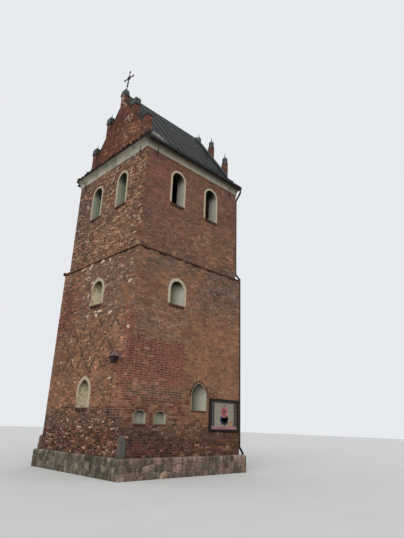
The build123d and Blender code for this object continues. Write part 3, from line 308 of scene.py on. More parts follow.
# Zones of each side: palette, least and greatest s, least and greatest z, share of bricks, soft edge
ZONES = {
    ("upper", "front"): [
        ("weathered", -4, 4, 9, 17, 1.0, 0.1),
        ("tan", -4, 4, 10, 11.7, 0.75, 0.6),
        ("tan", 1.9, 4, 12.4, 15.0, 0.5, 0.5),
        ("stained", -4, 4, 14.9, 15.5, 0.35, 0.4),
        ("stained", -0.6, 0.9, 11.9, 14.4, 0.3, 0.5),
        ("eroded_painted_shade", -4, -1.0, 10, 14.8, 0.55, 0.6),
        ("bruise", -4, -2.7, 13.2, 15.3, 0.95, 0.25),
    ],
    ("upper", "right"): [
        ("belfry", -4, 4, 9, 17, 1.0, 0.1),
        ("belfry_pink", -3.5, -1.6, 12.2, 15.5, 0.7, 0.6),
        ("belfry_orange", 0.3, 4, 10, 12.2, 0.7, 0.9),
        ("stained", -4, 4, 10, 10.35, 0.4, 0.2),
    ],
    ("upper", "back"): [("belfry", -4, 4, 9, 17, 1.0, 0.1), ("stained", -4, 4, 14.8, 15.5, 0.5, 0.5)],
    ("upper", "left"): [("belfry", -4, 4, 9, 17, 1.0, 0.1), ("belfry_orange", -2, 3, 10.5, 13, 0.5, 0.9)],
    ("lower", "front"): [
        ("brown", -4, 4, 0, 10, 1.0, 0.1),
        ("orange", -3.6, 3.2, 2.7, 6.9, 0.8, 0.5),
        ("purple", -1.3, 3.6, 6.9, 10, 0.85, 0.6),
        ("deep_red", -3.6, -1.7, 6.4, 9.2, 0.85, 0.5),
        ("lime", -3.6, -2.6, 9.0, 10, 0.6, 0.4),
        ("orange", 2.4, 3.2, 7.0, 8.4, 0.8, 0.3),
        ("new_red", 2.85, 3.6, 4.4, 6.9, 0.95, 0.2),
        ("new_red", 2.5, 3.6, 2.3, 4.6, 0.8, 0.35),
        ("eroded_painted_shade", -3.6, 3.6, 1.75, 2.65, 0.85, 0.2),
        ("rough", -3.6, 3.6, 0.7, 1.8, 0.95, 0.15),
        ("stained", -3.6, -2.6, 0.7, 2.6, 0.4, 0.3),
        # Dark row just under the string course: painted shadow of the course
        ("soot", -4, 4, STRING_BOTTOM - 0.10, 11, 0.9, 0.02),
    ],
    ("lower", "right"): [
        ("brown", -4, 4, 0, 10, 1.0, 0.1),
        ("stained", -2.6, 0.3, 9.2, 10, 0.75, 0.35),
        ("stained", 0.8, 3.3, 8.5, 9.8, 0.8, 0.45),
        ("purple", -0.2, 3.4, 7.4, 9.2, 0.6, 0.6),
        ("lime", -3.6, -0.5, 5.6, 7.4, 0.5, 0.5),
        ("bruise", 0.9, 3.3, 7.9, 9.5, 0.3, 0.5),
        ("orange", -0.3, 3.6, 2.6, 7.2, 0.85, 0.7),
        ("new_red", -3.6, -0.42, 3.75, 5.7, 0.95, 0.12),
        ("green", -3.6, -0.42, 3.05, 3.75, 0.8, 0.15),
        ("deep_red", -3.6, 0.0, 1.9, 3.05, 0.5, 0.3),
        ("eroded_painted_shade", -3.6, 3.6, 1.2, 2.1, 0.9, 0.3),
        ("rough", -3.6, 3.6, 0.7, 1.5, 0.95, 0.2),
        ("soot", -3.6, 1.4, 0.7, 1.9, 0.22, 0.5),
        # Dark row just under the string course: painted shadow of the course
        ("soot", -4, 4, STRING_BOTTOM - 0.10, 11, 0.6, 0.02),
    ],
    ("lower", "back"): [
        ("brown", -4, 4, 0, 10, 1.0, 0.1),
        ("purple", -4, 4, 8.2, 10, 0.6, 0.8),
        ("orange", -3, 2, 3.4, 7.5, 0.7, 0.9),
        ("new_red", 1.2, 3.6, 1.8, 3.6, 0.9, 0.15),
        ("eroded_painted_shade", -3.6, 3.6, 0.7, 1.5, 0.7, 0.3),
        ("stained", -3.6, -2.9, 1, 10, 0.4, 0.3),
    ],
    ("lower", "left"): [
        ("brown", -4, 4, 0, 10, 1.0, 0.1),
        ("stained", -2, 3, 8.9, 10, 0.6, 0.5),
        ("deep_red", -3.6, 0, 5.2, 8.2, 0.6, 0.9),
        ("orange", -1, 3.6, 2.4, 6.4, 0.75, 0.8),
        ("eroded_painted_shade", -3.6, 3.6, 1.2, 2.2, 0.7, 0.3),
        ("rough", -3.6, 3.6, 0.7, 1.3, 0.8, 0.2),
    ],
    ("gable", "front"): [
        ("gable", -4, 4, 15, 23, 1.0, 0.1),
        ("gable_dark", -3.2, -1.7, 15.9, 17.6, 0.3, 0.5),
        ("belfry_orange", 0.2, 2.6, 16.3, 17.9, 0.45, 0.5),
        ("apex", -0.2, 0.4, 19.6, 21.2, 0.9, 0.2),
    ],
    ("gable", "back"): [("gable", -4, 4, 15, 23, 1.0, 0.1), ("gable_dark", -2, 2, 16, 18, 0.3, 0.7)],
}


# How far the bricks of a side differ from their palette's mean
CONTRAST = {("lower", "right"): 0.62, ("upper", "right"): 0.8}
TONE_SPREAD = 0.085
HUE_SPREAD = 0.022


def palette_parts(palette):
    """Colours of a palette and their shares, as arrays."""
    rows = np.array(palette, float)
    return rows[:, :3].copy(), rows[:, 3] / rows[:, 3].sum()


def shades(rng, stage, side_name, s, z):
    """Colour of each brick, from the palettes of the zones that it lies in."""
    contrast = CONTRAST.get((stage, side_name), 1.0)
    s = np.asarray(s, float)
    z = np.asarray(z, float)
    chosen = np.zeros((len(s), 3))
    warp = cloud(s, z, 0.7, 11) * 0.6 + cloud(s, z, 0.25, 12) * 0.4 - 0.5
    for palette, s0, s1, z0, z1, share, soft in ZONES[stage, side_name]:
        inside = np.minimum(np.minimum(s - s0, s1 - s), np.minimum(z - z0, z1 - z))
        weight = np.clip((inside + warp * 2 * soft) / soft * 0.5 + 0.5, 0, 1) * share
        taken = rng.random(len(s)) < weight
        colours, parts = palette_parts(PALETTES[palette])
        mean = parts @ colours
        colours = mean + (colours - mean) * contrast
        picks = rng.choice(len(colours), len(s), p=parts)
        chosen[taken] = colours[picks[taken]]
    tone = 1 + (cloud(s, z, 0.9, 21) - 0.5) * 0.18 + (cloud(s, z, 0.28, 22) - 0.5) * 0.22
    tone += rng.normal(0, TONE_SPREAD * contrast, len(s))
    hue = rng.normal(0, HUE_SPREAD, (len(s), 3))
    return to_tint(chosen * (tone[:, None] + hue))


def to_tint(colours):
    """Colours of 0 to 255 as shares, kept off pure black and white."""
    return np.clip(colours / 255, 0.02, 0.98)


class Piece:
    """Collects points, faces and face colours of one mesh."""

    def __init__(self):
        self.points = []
        self.faces = []
        self.tints = []
        self.count = 0

    def add(self, points, faces, tint=(1, 1, 1)):
        """Adds points and faces in one colour, or in one colour for each face."""
        points = np.asarray(points, float).reshape(-1, 3)
        tint = np.asarray(tint, float)
        if tint.ndim == 1:
            tint = np.repeat(tint[None], len(faces), axis=0)
        self.points.append(points)
        self.faces.extend([tuple(int(i) + self.count for i in face) for face in faces])
        self.tints.append(tint)
        self.count += len(points)

    def add_many(self, points, faces, tints):
        """Adds many copies of one form: points are (copies, points, 3), with one colour a copy."""
        copies, size, _ = points.shape
        faces = [np.array(face) for face in faces]
        starts = self.count + np.arange(copies) * size
        for start in starts:
            self.faces.extend([tuple((face + start).tolist()) for face in faces])
        self.points.append(points.reshape(-1, 3))
        self.tints.append(np.repeat(tints, len(faces), axis=0))
        self.count += copies * size


def make_piece(name, piece, material, replaces=(), smooth=False, tidy_normals=False):
    """Makes the Blender object of a collected piece, with its colours, and rides it on the tower."""
    mesh = bpy.data.meshes.new(name)
    mesh.from_pydata(np.vstack(piece.points).tolist(), [], piece.faces)
    if tidy_normals:
        work = bmesh.new()
        work.from_mesh(mesh)
        bmesh.ops.recalc_face_normals(work, faces=work.faces)
        work.to_mesh(mesh)
        work.free()
    sizes = np.array([len(face) for face in piece.faces])
    colours = np.ones((sizes.sum(), 4), np.float32)
    colours[:, :3] = np.repeat(np.vstack(piece.tints), sizes, axis=0)
    tint = mesh.color_attributes.new("tint", "BYTE_COLOR", "CORNER")
    tint.data.foreach_set("color_srgb", colours.ravel())
    if smooth:
        mesh.polygons.foreach_set("use_smooth", [True] * len(mesh.polygons))
    mesh.materials.append(material)
    thing = bpy.data.objects.new(name, mesh)
    bpy.context.scene.collection.objects.link(thing)
    if replaces:
        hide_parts(*replaces)
    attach(thing, "root")
    return thing


def skin_faces(rings, around, closed=True):
    """Four-sided faces between following rings of points, each ring closed or open."""
    faces = []
    for start in range(0, (rings - 1) * around, around):
        for k in range(around if closed else around - 1):
            m = (k + 1) % around
            faces.append((start + k, start + m, start + around + m, start + around + k))
    return faces


def end_faces(rings, around):
    """The faces that close the two ends of a tube of rings."""
    last = (rings - 1) * around
    return [tuple(range(around)), tuple(reversed(range(last, last + around)))]


# A brick that shows one face: root, shoulder and face rings of four corners
BRICK_FACES = skin_faces(3, 4) + [(8, 9, 10, 11)]
PLACE_WOBBLE = 0.0012
FACE_WOBBLE = 0.0008
LEAST_PROUD = 0.002
LEAST_SHOULDER = 0.0004


def lay_bricks(rng, piece, side, distance, corners, proud, tints, rough=1.0):
    """Adds bricks given by four corners (s, z) each, standing proud of a face."""
    corners = np.asarray(corners, float)
    count = len(corners)
    corners = corners + rng.normal(0, PLACE_WOBBLE * rough, corners.shape)
    after = np.roll(corners, -1, axis=1) - corners
    before = np.roll(corners, 1, axis=1) - corners
    after /= np.linalg.norm(after, axis=2)[..., None]
    before /= np.linalg.norm(before, axis=2)[..., None]
    inner = corners + (after + before) * ARRIS
    proud = np.asarray(proud, float)[:, None] + rng.normal(0, FACE_WOBBLE * rough, (count, 4))
    proud = np.maximum(proud, LEAST_PROUD)
    shoulder = np.maximum(proud - ARRIS * 0.8, LEAST_SHOULDER)
    rings = [
        side.place(corners[..., 0], corners[..., 1], np.full((count, 4), distance + ROOT)),
        side.place(corners[..., 0], corners[..., 1], distance + shoulder),
        side.place(inner[..., 0], inner[..., 1], distance + proud),
    ]
    piece.add_many(np.concatenate(rings, axis=1), BRICK_FACES, tints)


def box_corners(s0, s1, z0, z1):
    """Corners of an upright brick face, in order round it."""
    return [(s0, z0), (s1, z0), (s1, z1), (s0, z1)]


# Lengths of cut bricks, and how far bricks run under the trim of an opening
SLIVER = 0.012
SHORT_BRICK = 0.06
LONG_BRICK = 0.36
LEAST_BRICK = 0.03
LEAST_SPAN = 0.02
UNDER_BAND = 0.02
UNDER_RING = 0.012


def fill_span(lo, hi, row, forced=()):
    """Bricks of one course between two ends, in a bond of stretchers and headers by turns."""
    period = STRETCHER + HEADER + 2 * JOINT
    shift = 0.5 * period if row % 2 else 0.0
    edges = []
    for k in range(math.floor((lo - shift) / period) - 1, math.ceil((hi - shift) / period) + 1):
        start = shift + k * period
        middle = start + STRETCHER + JOINT
        edges += [(start, start + STRETCHER), (middle, middle + HEADER)]
    taken = []
    for start, end in edges:
        start = max(start, lo)
        end = min(end, hi)
        for middle in forced:
            near = middle - HEADER / 2 - JOINT
            far = middle + HEADER / 2 + JOINT
            if start < far and end > near:
                if start < near and end > far:
                    taken.append((far, end))
                if start < near:
                    end = near
                else:
                    start = far
        if end - start > SLIVER:
            taken.append((start, end))
    taken.sort()
    merged = []
    for start, end in taken:
        if merged and min(end - start, merged[-1][1] - merged[-1][0]) < SHORT_BRICK:
            close = not any(merged[-1][1] <= middle <= start for middle in forced)
            if close and end - merged[-1][0] < LONG_BRICK:
                merged[-1] = (merged[-1][0], end)
                continue
        merged.append((start, end))
    return [(start, end) for start, end in merged if end - start > LEAST_BRICK]


def free_spans(openings, lo, hi, z0, z1):
    """The stretches of a course that no opening interrupts, and short bricks under the sills."""
    blocks = []
    short = []
    for opening in openings:
        grow = opening.band - UNDER_BAND if opening.band else RING - UNDER_RING
        if opening.band and z1 < opening.bottom + SILL_THICK:
            grow = 0.0
        half = opening.half_at(z1, grow)
        if z1 <= opening.bottom + SILL_THICK - SILL_DROP or half <= 0:
            continue
        blocks.append((opening.middle - half, opening.middle + half))
        if z0 < opening.bottom - 0.03:
            short.append((*blocks[-1], opening.bottom - 0.004))
    spans = []
    at = lo
    for start, end in sorted(blocks) + [(hi, hi)]:
        if start - at > LEAST_SPAN:
            spans.append((at, start))
        at = max(at, end)
    return spans, short


# Net of dark headers on the front of the lower stage
NET_WIDTH = 1.26
NET_HEIGHT = 1.55
NET_PEAK = (-1.67, 6.68)
NET_LOW = 4.32
NET_SPAN = (-2.75, 2.62)
NET_SHADES = ((66, 50, 43), (56, 43, 37), (80, 59, 49))
NET_LOST = 0.16


def net_places(z):
    """Places of the dark headers of the net in one course."""
    if not NET_LOW < z < NET_PEAK[1] + 0.05:
        return []
    shift = (NET_PEAK[1] - z) / NET_HEIGHT * NET_WIDTH
    places = []
    for k in range(-4, 6):
        base = NET_PEAK[0] + k * NET_WIDTH
        places += [base + shift, base - shift]
    places = sorted({round(p, 3) for p in places if NET_SPAN[0] < p < NET_SPAN[1]})
    kept = []
    for p in places:
        if not kept or p - kept[-1] > HEADER + 2 * JOINT:
            kept.append(p)
    return kept


# Rebuilt areas: more even bricks with flush pale joints (least and greatest s and z)
REBUILT = {
    ("lower", "front"): (2.35, 3.4, 2.3, 6.9),
    ("lower", "right"): (-3.6, -0.42, 3.1, 5.7),
    ("lower", "back"): (1.2, 3.6, 1.8, 3.6),
}
REBUILT_PROUD = 0.0035
# Bands of the street face that have lost their plaster at the left: opening, least and greatest z
BARE_BANDS = [(OPENINGS["lower", "front"][1], 7.72, 8.42), (OPENINGS["lower", "front"][0], 2.72, 3.2)]
BAND_PROUD = 0.026
BAND_MARGIN = 0.03
ROUGHNESS = {("upper", "front"): 1.5, ("lower", "front"): 1.25, ("gable", "front"): 1.2}
PROUD_SPAN = (0.003, 0.011)
SUNK_SPAN = (0.002, 0.004)
SUNK_SHARE = 0.10


def bare_band_bricks(rng, course):
    """Bricks that show where the bands of the street face have lost their plaster."""
    lost = []
    for opening, z0, z1 in BARE_BANDS:
        edge = opening.middle - opening.half
        while z0 < z1:
            inner = edge - rng.uniform(0.0, 0.035)
            lost.append(box_corners(edge - opening.band - BAND_MARGIN, inner, z0, z0 + course - JOINT))
            z0 += course
    return lost


def wall_bricks(name, side, stage, z_low, z_high, material, slot):
    """Lays the bricks of one stage on one side, with rings round the plain openings."""
    rng = np.random.default_rng([len(name), ord(side.name[0]), ord(stage[0])])
    key = (stage, side.name)
    street = key == ("lower", "front")
    half = side.length(*HALVES[stage])
    rows = round((z_high - z_low) / COURSE)
    course = (z_high - z_low) / rows
    corners = []
    dark = []
    for row in range(rows):
        z0 = z_low + row * course + JOINT / 2
        z1 = z_low + (row + 1) * course - JOINT / 2
        left_end, right_end = quoin_lengths(side, row)
        ends = (-half + left_end + JOINT, half - right_end - JOINT)
        spans, short = free_spans(OPENINGS[key], *ends, z0, z1)
        forced = net_places((z0 + z1) / 2) if street else []
        for lo, hi in spans:
            here = [p for p in forced if lo + HEADER / 2 < p < hi - HEADER / 2]
            plain = [box_corners(start, end, z0, z1) for start, end in fill_span(lo, hi, row, here)]
            corners += plain + [box_corners(p - HEADER / 2, p + HEADER / 2, z0, z1) for p in here]
            dark += [False] * len(plain) + [rng.random() > NET_LOST for p in here]
        for lo, hi, top in short:
            plain = [box_corners(start, end, z0, top) for start, end in fill_span(lo, hi, row)]
            corners += plain
            dark += [False] * len(plain)
    lost = bare_band_bricks(rng, course) if street else []
    corners = np.array(corners + lost)
    dark = np.array(dark + [False] * len(lost))
    s, z = corners.mean(axis=1).T
    tints = shades(rng, *key, s, z)
    tints[dark] = np.array(NET_SHADES)[rng.integers(0, 3, dark.sum())] / 255
    proud = rng.uniform(*PROUD_SPAN, len(corners))
    sunk = rng.random(len(corners)) < SUNK_SHARE
    proud[sunk] = rng.uniform(*SUNK_SPAN, sunk.sum())
    if key in REBUILT:
        s0, s1, z0, z1 = REBUILT[key]
        proud[(s > s0) & (s < s1) & (z > z0) & (z < z1)] = REBUILT_PROUD
    if lost:
        proud[-len(lost):] = BAND_PROUD
    piece = Piece()
    lay_bricks(rng, piece, side, side.face(stage), corners, proud, tints, ROUGHNESS.get(key, 1.0))
    for opening in OPENINGS[key]:
        if not opening.band:
            arch_ring(rng, piece, side, opening, stage)
    make_piece(name, piece, material)


def quoin_lengths(side, row):
    """Lengths of the corner bricks at the left and right end of a course on one side."""
    turn = SIDES.index(side) % 2
    even = (row + turn) % 2 == 0
    return (STRETCHER, HEADER) if even else (HEADER, STRETCHER)


# Rings of headers round the plain openings; every other brick is darker, most of all over the pointed ones
RING_PITCH = 0.082
RING_GAP = 0.06
RING_INSET = 0.004
RING_PROUD = (0.012, 0.015)
RING_TONE = 0.92
RING_DARKER = {"pointed": 0.6, "segmental": 0.86}


def arch_ring(rng, piece, side, opening, stage):
    """A ring of headers on end round a plain opening."""
    foot = max(opening.spring - 0.02, PLINTH_TOP)
    inner, outward = opening.outline(RING_INSET, foot, RING_PITCH)
    outer = inner + outward * (RING - RING_INSET)
    (a0, a1), (b0, b1) = (
        (line[:-1] * (1 - RING_GAP) + line[1:] * RING_GAP, line[1:] * (1 - RING_GAP) + line[:-1] * RING_GAP)
        for line in (inner, outer)
    )
    corners = np.stack([a1, b1, b0, a0], axis=1)
    area = np.cross(corners[:, 1] - corners[:, 0], corners[:, 2] - corners[:, 0])
    corners[area < 0] = corners[area < 0][:, ::-1]
    tints = shades(rng, stage, side.name, *corners.mean(axis=1).T) * RING_TONE
    tints[::2] *= RING_DARKER[opening.kind]
    proud = rng.uniform(*RING_PROUD, len(corners))
    lay_bricks(rng, piece, side, side.face(stage), corners, proud, tints)


QUOIN_PROUD = (0.004, 0.010)
QUOIN_WEAR = (0.9, 2.2)
QUOIN_SHIFT = 0.00075


def corner_bricks(name, stage, z_low, z_high, material, slot):
    """The bricks that turn the four corners of one stage."""
    rng = np.random.default_rng(ord(stage[0]))
    rows = round((z_high - z_low) / COURSE)
    course = (z_high - z_low) / rows
    piece = Piece()
    faces = skin_faces(6, 8, closed=False)
    for first, second in zip(SIDES, SIDES[1:] + SIDES[:1]):
        half_a = first.length(*HALVES[stage])
        half_b = second.length(*HALVES[stage])
        corner = first.right * half_a + first.outward * first.face(stage)
        for row in range(rows):
            end_a = -first.right * quoin_lengths(first, row)[1]
            end_b = second.right * quoin_lengths(second, row)[0]
            z0 = z_low + row * course + JOINT / 2
            z1 = z_low + (row + 1) * course - JOINT / 2
            proud = rng.uniform(*QUOIN_PROUD)
            worn = ARRIS * rng.uniform(*QUOIN_WEAR)
            shift = rng.normal(0, QUOIN_SHIFT, 3)
            points = []
            for z, out, inset in (
                (z0, ROOT, 0.0), (z0, proud - ARRIS, 0.0), (z0 + ARRIS, proud, ARRIS),
                (z1 - ARRIS, proud, ARRIS), (z1, proud - ARRIS, 0.0), (z1, ROOT, 0.0),
            ):
                base = corner + UP * z
                flat = min(out, proud)
                shoulder = min(out, proud - ARRIS)
                nose = max(flat - worn, ROOT)
                points += [
                    base + end_a + first.outward * ROOT,
                    base + end_a + first.outward * shoulder,
                    base + end_a + first.right * inset + first.outward * flat,
                    base + first.outward * flat + second.outward * nose,
                    base + second.outward * flat + first.outward * nose,
                    base + end_b - second.right * inset + second.outward * flat,
                    base + end_b + second.outward * shoulder,
                    base + end_b + second.outward * ROOT,
                ]
            tint_a = shades(rng, stage, first.name, [half_a - 0.1], [(z0 + z1) / 2])
            tint_b = shades(rng, stage, second.name, [0.1 - half_b], [(z0 + z1) / 2])
            tints = np.vstack(([tint_a] * 4 + [tint_b] * 3) * 5)
            piece.add(np.array(points) + shift, faces, tints)
    make_piece(name, piece, material)


# Closed block with bevelled edges: three points at each of eight corners
SIGNS = [(i, j, k) for i in (-1, 1) for j in (-1, 1) for k in (-1, 1)]


def block_faces():
    """Faces of a block whose corner c has the points 3c, 3c + 1 and 3c + 2, one on each side there."""
    faces = []
    index = {signs: n for n, signs in enumerate(SIGNS)}
    for axis in range(3):
        others = [a for a in range(3) if a != axis]
        for sign in (-1, 1):
            ring = []
            for pair in ((-1, -1), (1, -1), (1, 1), (-1, 1)):
                signs = [0, 0, 0]
                signs[axis] = sign
                signs[others[0]], signs[others[1]] = pair
                ring.append(index[tuple(signs)] * 3 + axis)
            faces.append(tuple(ring))
    for axis in range(3):
        k, m = [a for a in range(3) if a != axis]
        for sign_k in (-1, 1):
            for sign_m in (-1, 1):
                low = [0, 0, 0]
                low[axis], low[k], low[m] = -1, sign_k, sign_m
                high = list(low)
                high[axis] = 1
                a, b = index[tuple(low)], index[tuple(high)]
                faces.append((a * 3 + k, b * 3 + k, b * 3 + m, a * 3 + m))
    for corner in range(8):
        faces.append((corner * 3, corner * 3 + 1, corner * 3 + 2))
    return faces


BLOCK = block_faces()


def add_block(piece, centre, halves, tint, bevel, axes=None, shift=None):
    """Adds one bevelled block; axes are its three directions, shift moves its corners a little."""
    axes = np.eye(3) if axes is None else np.asarray(axes, float)
    points = []
    for n, signs in enumerate(SIGNS):
        for k in range(3):
            local = [signs[axis] * (halves[axis] - (bevel if axis != k else 0.0)) for axis in range(3)]
            point = np.asarray(centre, float) + sum(axes[axis] * local[axis] for axis in range(3))
            points.append(point if shift is None else point + shift[n])
    piece.add(points, BLOCK, tint)


def add_brick(piece, rng, side, centre, halves, shade, bevel, wobble):
    """Adds one whole brick that lies square to a side; its shade is given from 0 to 255."""
    shift = rng.normal(0, wobble, (8, 3))
    add_block(piece, side.place(*centre), halves, np.asarray(shade) / 255, bevel, side.axes, shift)


def rake_height(x):
    """Top of the raking masonry at a distance from the gable's middle."""
    return RAKE_TOP - RAKE_SLOPE * abs(x)


# Shafts of the gables: how far they start in the raking masonry, and how far their bricks stand proud
SHAFT_SUNK = 0.3
SHAFT_PROUD = 0.007
SHAFT_WOBBLE = 0.0018


def cut_span(spans, lo, hi):
    """What is left of some spans when the stretch from lo to hi is taken out."""
    cut = []
    for start, end in spans:
        if start < lo:
            cut.append((start, min(end, lo)))
        if end > hi:
            cut.append((max(start, hi), end))
    return cut


def gable_bricks(side, shaft, material):
    """Bricks on the outer face of a gable, and whole bricks round its five shafts."""
    rng = np.random.default_rng(ord(side.name[0]))
    middle = GABLE_SHIFT * side.right[0]
    half = 2 * SHAFT_SPACING + shaft / 2
    lifts = RAKE_LIFTS[side.name]
    shafts = []
    for step, rise in zip(STEPS, SHAFT_RISES[side.name]):
        start = LEDGE_TOP
        if abs(step) < 2:
            start = rake_height(abs(step) * SHAFT_SPACING + shaft / 2) + lifts[step > 0] - SHAFT_SUNK
        shafts.append((step * SHAFT_SPACING, start, rake_height(step * SHAFT_SPACING) + rise))
    corners = []
    row = 0
    z = LEDGE_TOP
    while z + COURSE < RAKE_TOP + lifts[1]:
        z0 = z + JOINT / 2
        z1 = z + COURSE - JOINT / 2
        reach = [min(half, max((RAKE_TOP + lift - z1) / RAKE_SLOPE, 0)) for lift in lifts]
        spans = [(-reach[0], reach[1])]
        for place, start, top in shafts:
            if z1 > start:
                spans = cut_span(spans, place - shaft / 2 - JOINT, place + shaft / 2 + JOINT)
        for lo, hi in spans:
            if hi - lo > LEAST_BRICK:
                corners += [box_corners(a + middle, b + middle, z0, z1) for a, b in fill_span(lo, hi, row)]
        z += COURSE
        row += 1
    corners = np.array(corners)
    tints = shades(rng, "gable", side.name, *corners.mean(axis=1).T)
    piece = Piece()
    proud = rng.uniform(*PROUD_SPAN, len(corners))
    lay_bricks(rng, piece, side, GABLE_FACE, corners, proud, tints, ROUGHNESS["gable", "front"])
    make_piece(f"bricks_gable_{side.name}", piece, material)
    stacks = Piece()
    wide = shaft + 2 * SHAFT_PROUD
    deep = GABLE_FACE - GABLE_BACK + 2 * SHAFT_PROUD
    centre = (GABLE_FACE + GABLE_BACK) / 2
    for place, start, top in shafts:
        rows = max(int(round((top - start) / COURSE)), 1)
        course = (top - start) / rows
        for row in range(rows):
            height = start + (row + 0.5) * course
            tall = course / 2 - JOINT / 2
            for part in (-1, 1):
                if row % 2:
                    halves = (wide / 4 - JOINT / 2, deep / 2, tall)
                    s, out = place + part * wide / 4, centre
                else:
                    halves = (wide / 2, deep / 4 - JOINT / 2, tall)
                    s, out = place, centre + part * deep / 4
                shade = shades(rng, "gable", side.name, [s + middle], [height])[0] * 255
                add_brick(stacks, rng, side, (s + middle, height, out), halves, shade, ARRIS, SHAFT_WOBBLE)
    make_piece(f"bricks_shafts_{side.name}", stacks, material, tidy_normals=True)


def rgb(red, green, blue):
    """Linear colour from sRGB values of 0 to 255."""
    def linear(value):
        value /= 255
        return value / 12.92 if value <= 0.04045 else ((value + 0.055) / 1.055) ** 2.4

    return linear(red), linear(green), linear(blue)


class Shader:
    """Builds one procedural material; its methods add nodes and give back their output sockets."""

    def __init__(self, name, roughness=0.85, metallic=0.0, specular=0.3):
        self.material = bpy.data.materials.new(name)
        self.material.use_nodes = True
        self.tree = self.material.node_tree
        self.surface = self.tree.nodes["Principled BSDF"]
        self.surface.inputs["Roughness"].default_value = roughness
        self.surface.inputs["Metallic"].default_value = metallic
        self.surface.inputs["Specular IOR Level"].default_value = specular
        self.place = self.tree.nodes.new("ShaderNodeTexCoord").outputs["Object"]

    def join(self, source, socket):
        """Sets a socket from a number or colour, or links it to an output."""
        if isinstance(source, (int, float)):
            socket.default_value = source
        elif isinstance(source, tuple):
            socket.default_value = (*source, 1.0) if len(source) == 3 and socket.type == "RGBA" else source
        else:
            self.tree.links.new(source, socket)

    def math(self, operation, a, b=0.0, clamp=False):
        """Result of one arithmetic operation on two values."""
        node = self.tree.nodes.new("ShaderNodeMath")
        node.operation = operation
        node.use_clamp = clamp
        self.join(a, node.inputs[0])
        self.join(b, node.inputs[1])
        return node.outputs[0]

    def times(self, *values):
        """Product of several values."""
        return functools.reduce(lambda a, b: self.math("MULTIPLY", a, b), values)

    def most(self, *values):
        """Greatest of several values."""
        return functools.reduce(lambda a, b: self.math("MAXIMUM", a, b), values)

    def mix(self, factor, a, b):
        """Colour between two colours, or values from 0 to 255 for them."""
        a, b = (rgb(*colour) if isinstance(colour, tuple) else colour for colour in (a, b))
        node = self.tree.nodes.new("ShaderNodeMix")
        node.data_type = "RGBA"
        self.join(factor, node.inputs["Factor"])
        self.join(a, node.inputs[6])
        self.join(b, node.inputs[7])
        return node.outputs[2]

    def stain(self, colour, where, low, high, share, shade):
        """A colour with another one over it, by up to a share, where a value passes from low to high."""
        return self.mix(self.span(where, low, high, 0.0, share), colour, shade)

    def axis(self, which):
        """One coordinate of the place, 0 to 2."""
        node = self.tree.nodes.new("ShaderNodeSeparateXYZ")
        self.join(self.place, node.inputs[0])
        return node.outputs[which]

    def stretched(self, x, y, z):
        """The place, scaled along each axis."""
        node = self.tree.nodes.new("ShaderNodeMapping")
        self.join(self.place, node.inputs["Vector"])
        node.inputs["Scale"].default_value = (x, y, z)
        return node.outputs[0]

    def noise(self, scale, detail=5.0, roughness=0.6, vector=None, distortion=0.0):
        """Fractal noise from 0 to 1."""
        node = self.tree.nodes.new("ShaderNodeTexNoise")
        self.join(vector or self.place, node.inputs["Vector"])
        node.inputs["Scale"].default_value = scale
        node.inputs["Detail"].default_value = detail
        node.inputs["Roughness"].default_value = roughness
        node.inputs["Distortion"].default_value = distortion
        return node.outputs["Fac"]

    def cells(self, scale):
        """Distance to the nearest of many scattered points."""
        node = self.tree.nodes.new("ShaderNodeTexVoronoi")
        self.join(self.place, node.inputs["Vector"])
        node.inputs["Scale"].default_value = scale
        return node.outputs["Distance"]

    def span(self, value, low, high, to_low=0.0, to_high=1.0):
        """Maps a value smoothly from one span to another, without going past its ends."""
        node = self.tree.nodes.new("ShaderNodeMapRange")
        node.interpolation_type = "SMOOTHSTEP"
        self.join(value, node.inputs["Value"])
        node.inputs["From Min"].default_value = low
        node.inputs["From Max"].default_value = high
        node.inputs["To Min"].default_value = to_low
        node.inputs["To Max"].default_value = to_high
        return node.outputs[0]

    def tint(self):
        """The colour that each face carries."""
        node = self.tree.nodes.new("ShaderNodeAttribute")
        node.attribute_name = "tint"
        return node.outputs["Color"]

    def vary(self, colour, factor, amount):
        """Lightens and darkens a colour by a noise, by up to the amount each way."""
        grey = self.span(factor, 0.25, 0.75, 1 - amount, 1 + amount)
        node = self.tree.nodes.new("ShaderNodeVectorMath")
        node.operation = "SCALE"
        self.join(colour, node.inputs[0])
        self.join(grey, node.inputs["Scale"])
        return node.outputs[0]

    def box_mask(self, limits, soft=0.03):
        """1 inside a box of (axis, low, high) limits, 0 outside."""
        inside = []
        for which, low, high in limits:
            place = self.axis(which)
            inside.append(self.span(place, low - soft, low + soft))
            inside.append(self.span(place, high - soft, high + soft, 1, 0))
        return self.times(*inside)

    def bump(self, height, strength, distance, below=None):
        """Normal of a surface with fine relief, on top of another one."""
        node = self.tree.nodes.new("ShaderNodeBump")
        node.inputs["Strength"].default_value = strength
        node.inputs["Distance"].default_value = distance
        self.join(height, node.inputs["Height"])
        if below is not None:
            self.join(below, node.inputs["Normal"])
        return node.outputs[0]

    def relief(self, *layers):
        """Normal of fine relief in layers: scale, detail and roughness of the noise, strength, distance."""
        normal = None
        for scale, detail, rough, strength, distance in layers:
            normal = self.bump(self.noise(scale, detail, rough), strength, distance, normal)
        return normal

    def finish(self, colour, normal=None, roughness=None):
        """The material, with its colour, relief and roughness joined."""
        self.join(colour, self.surface.inputs["Base Color"])
        if normal is not None:
            self.join(normal, self.surface.inputs["Normal"])
        if roughness is not None:
            self.join(roughness, self.surface.inputs["Roughness"])
        return self.material


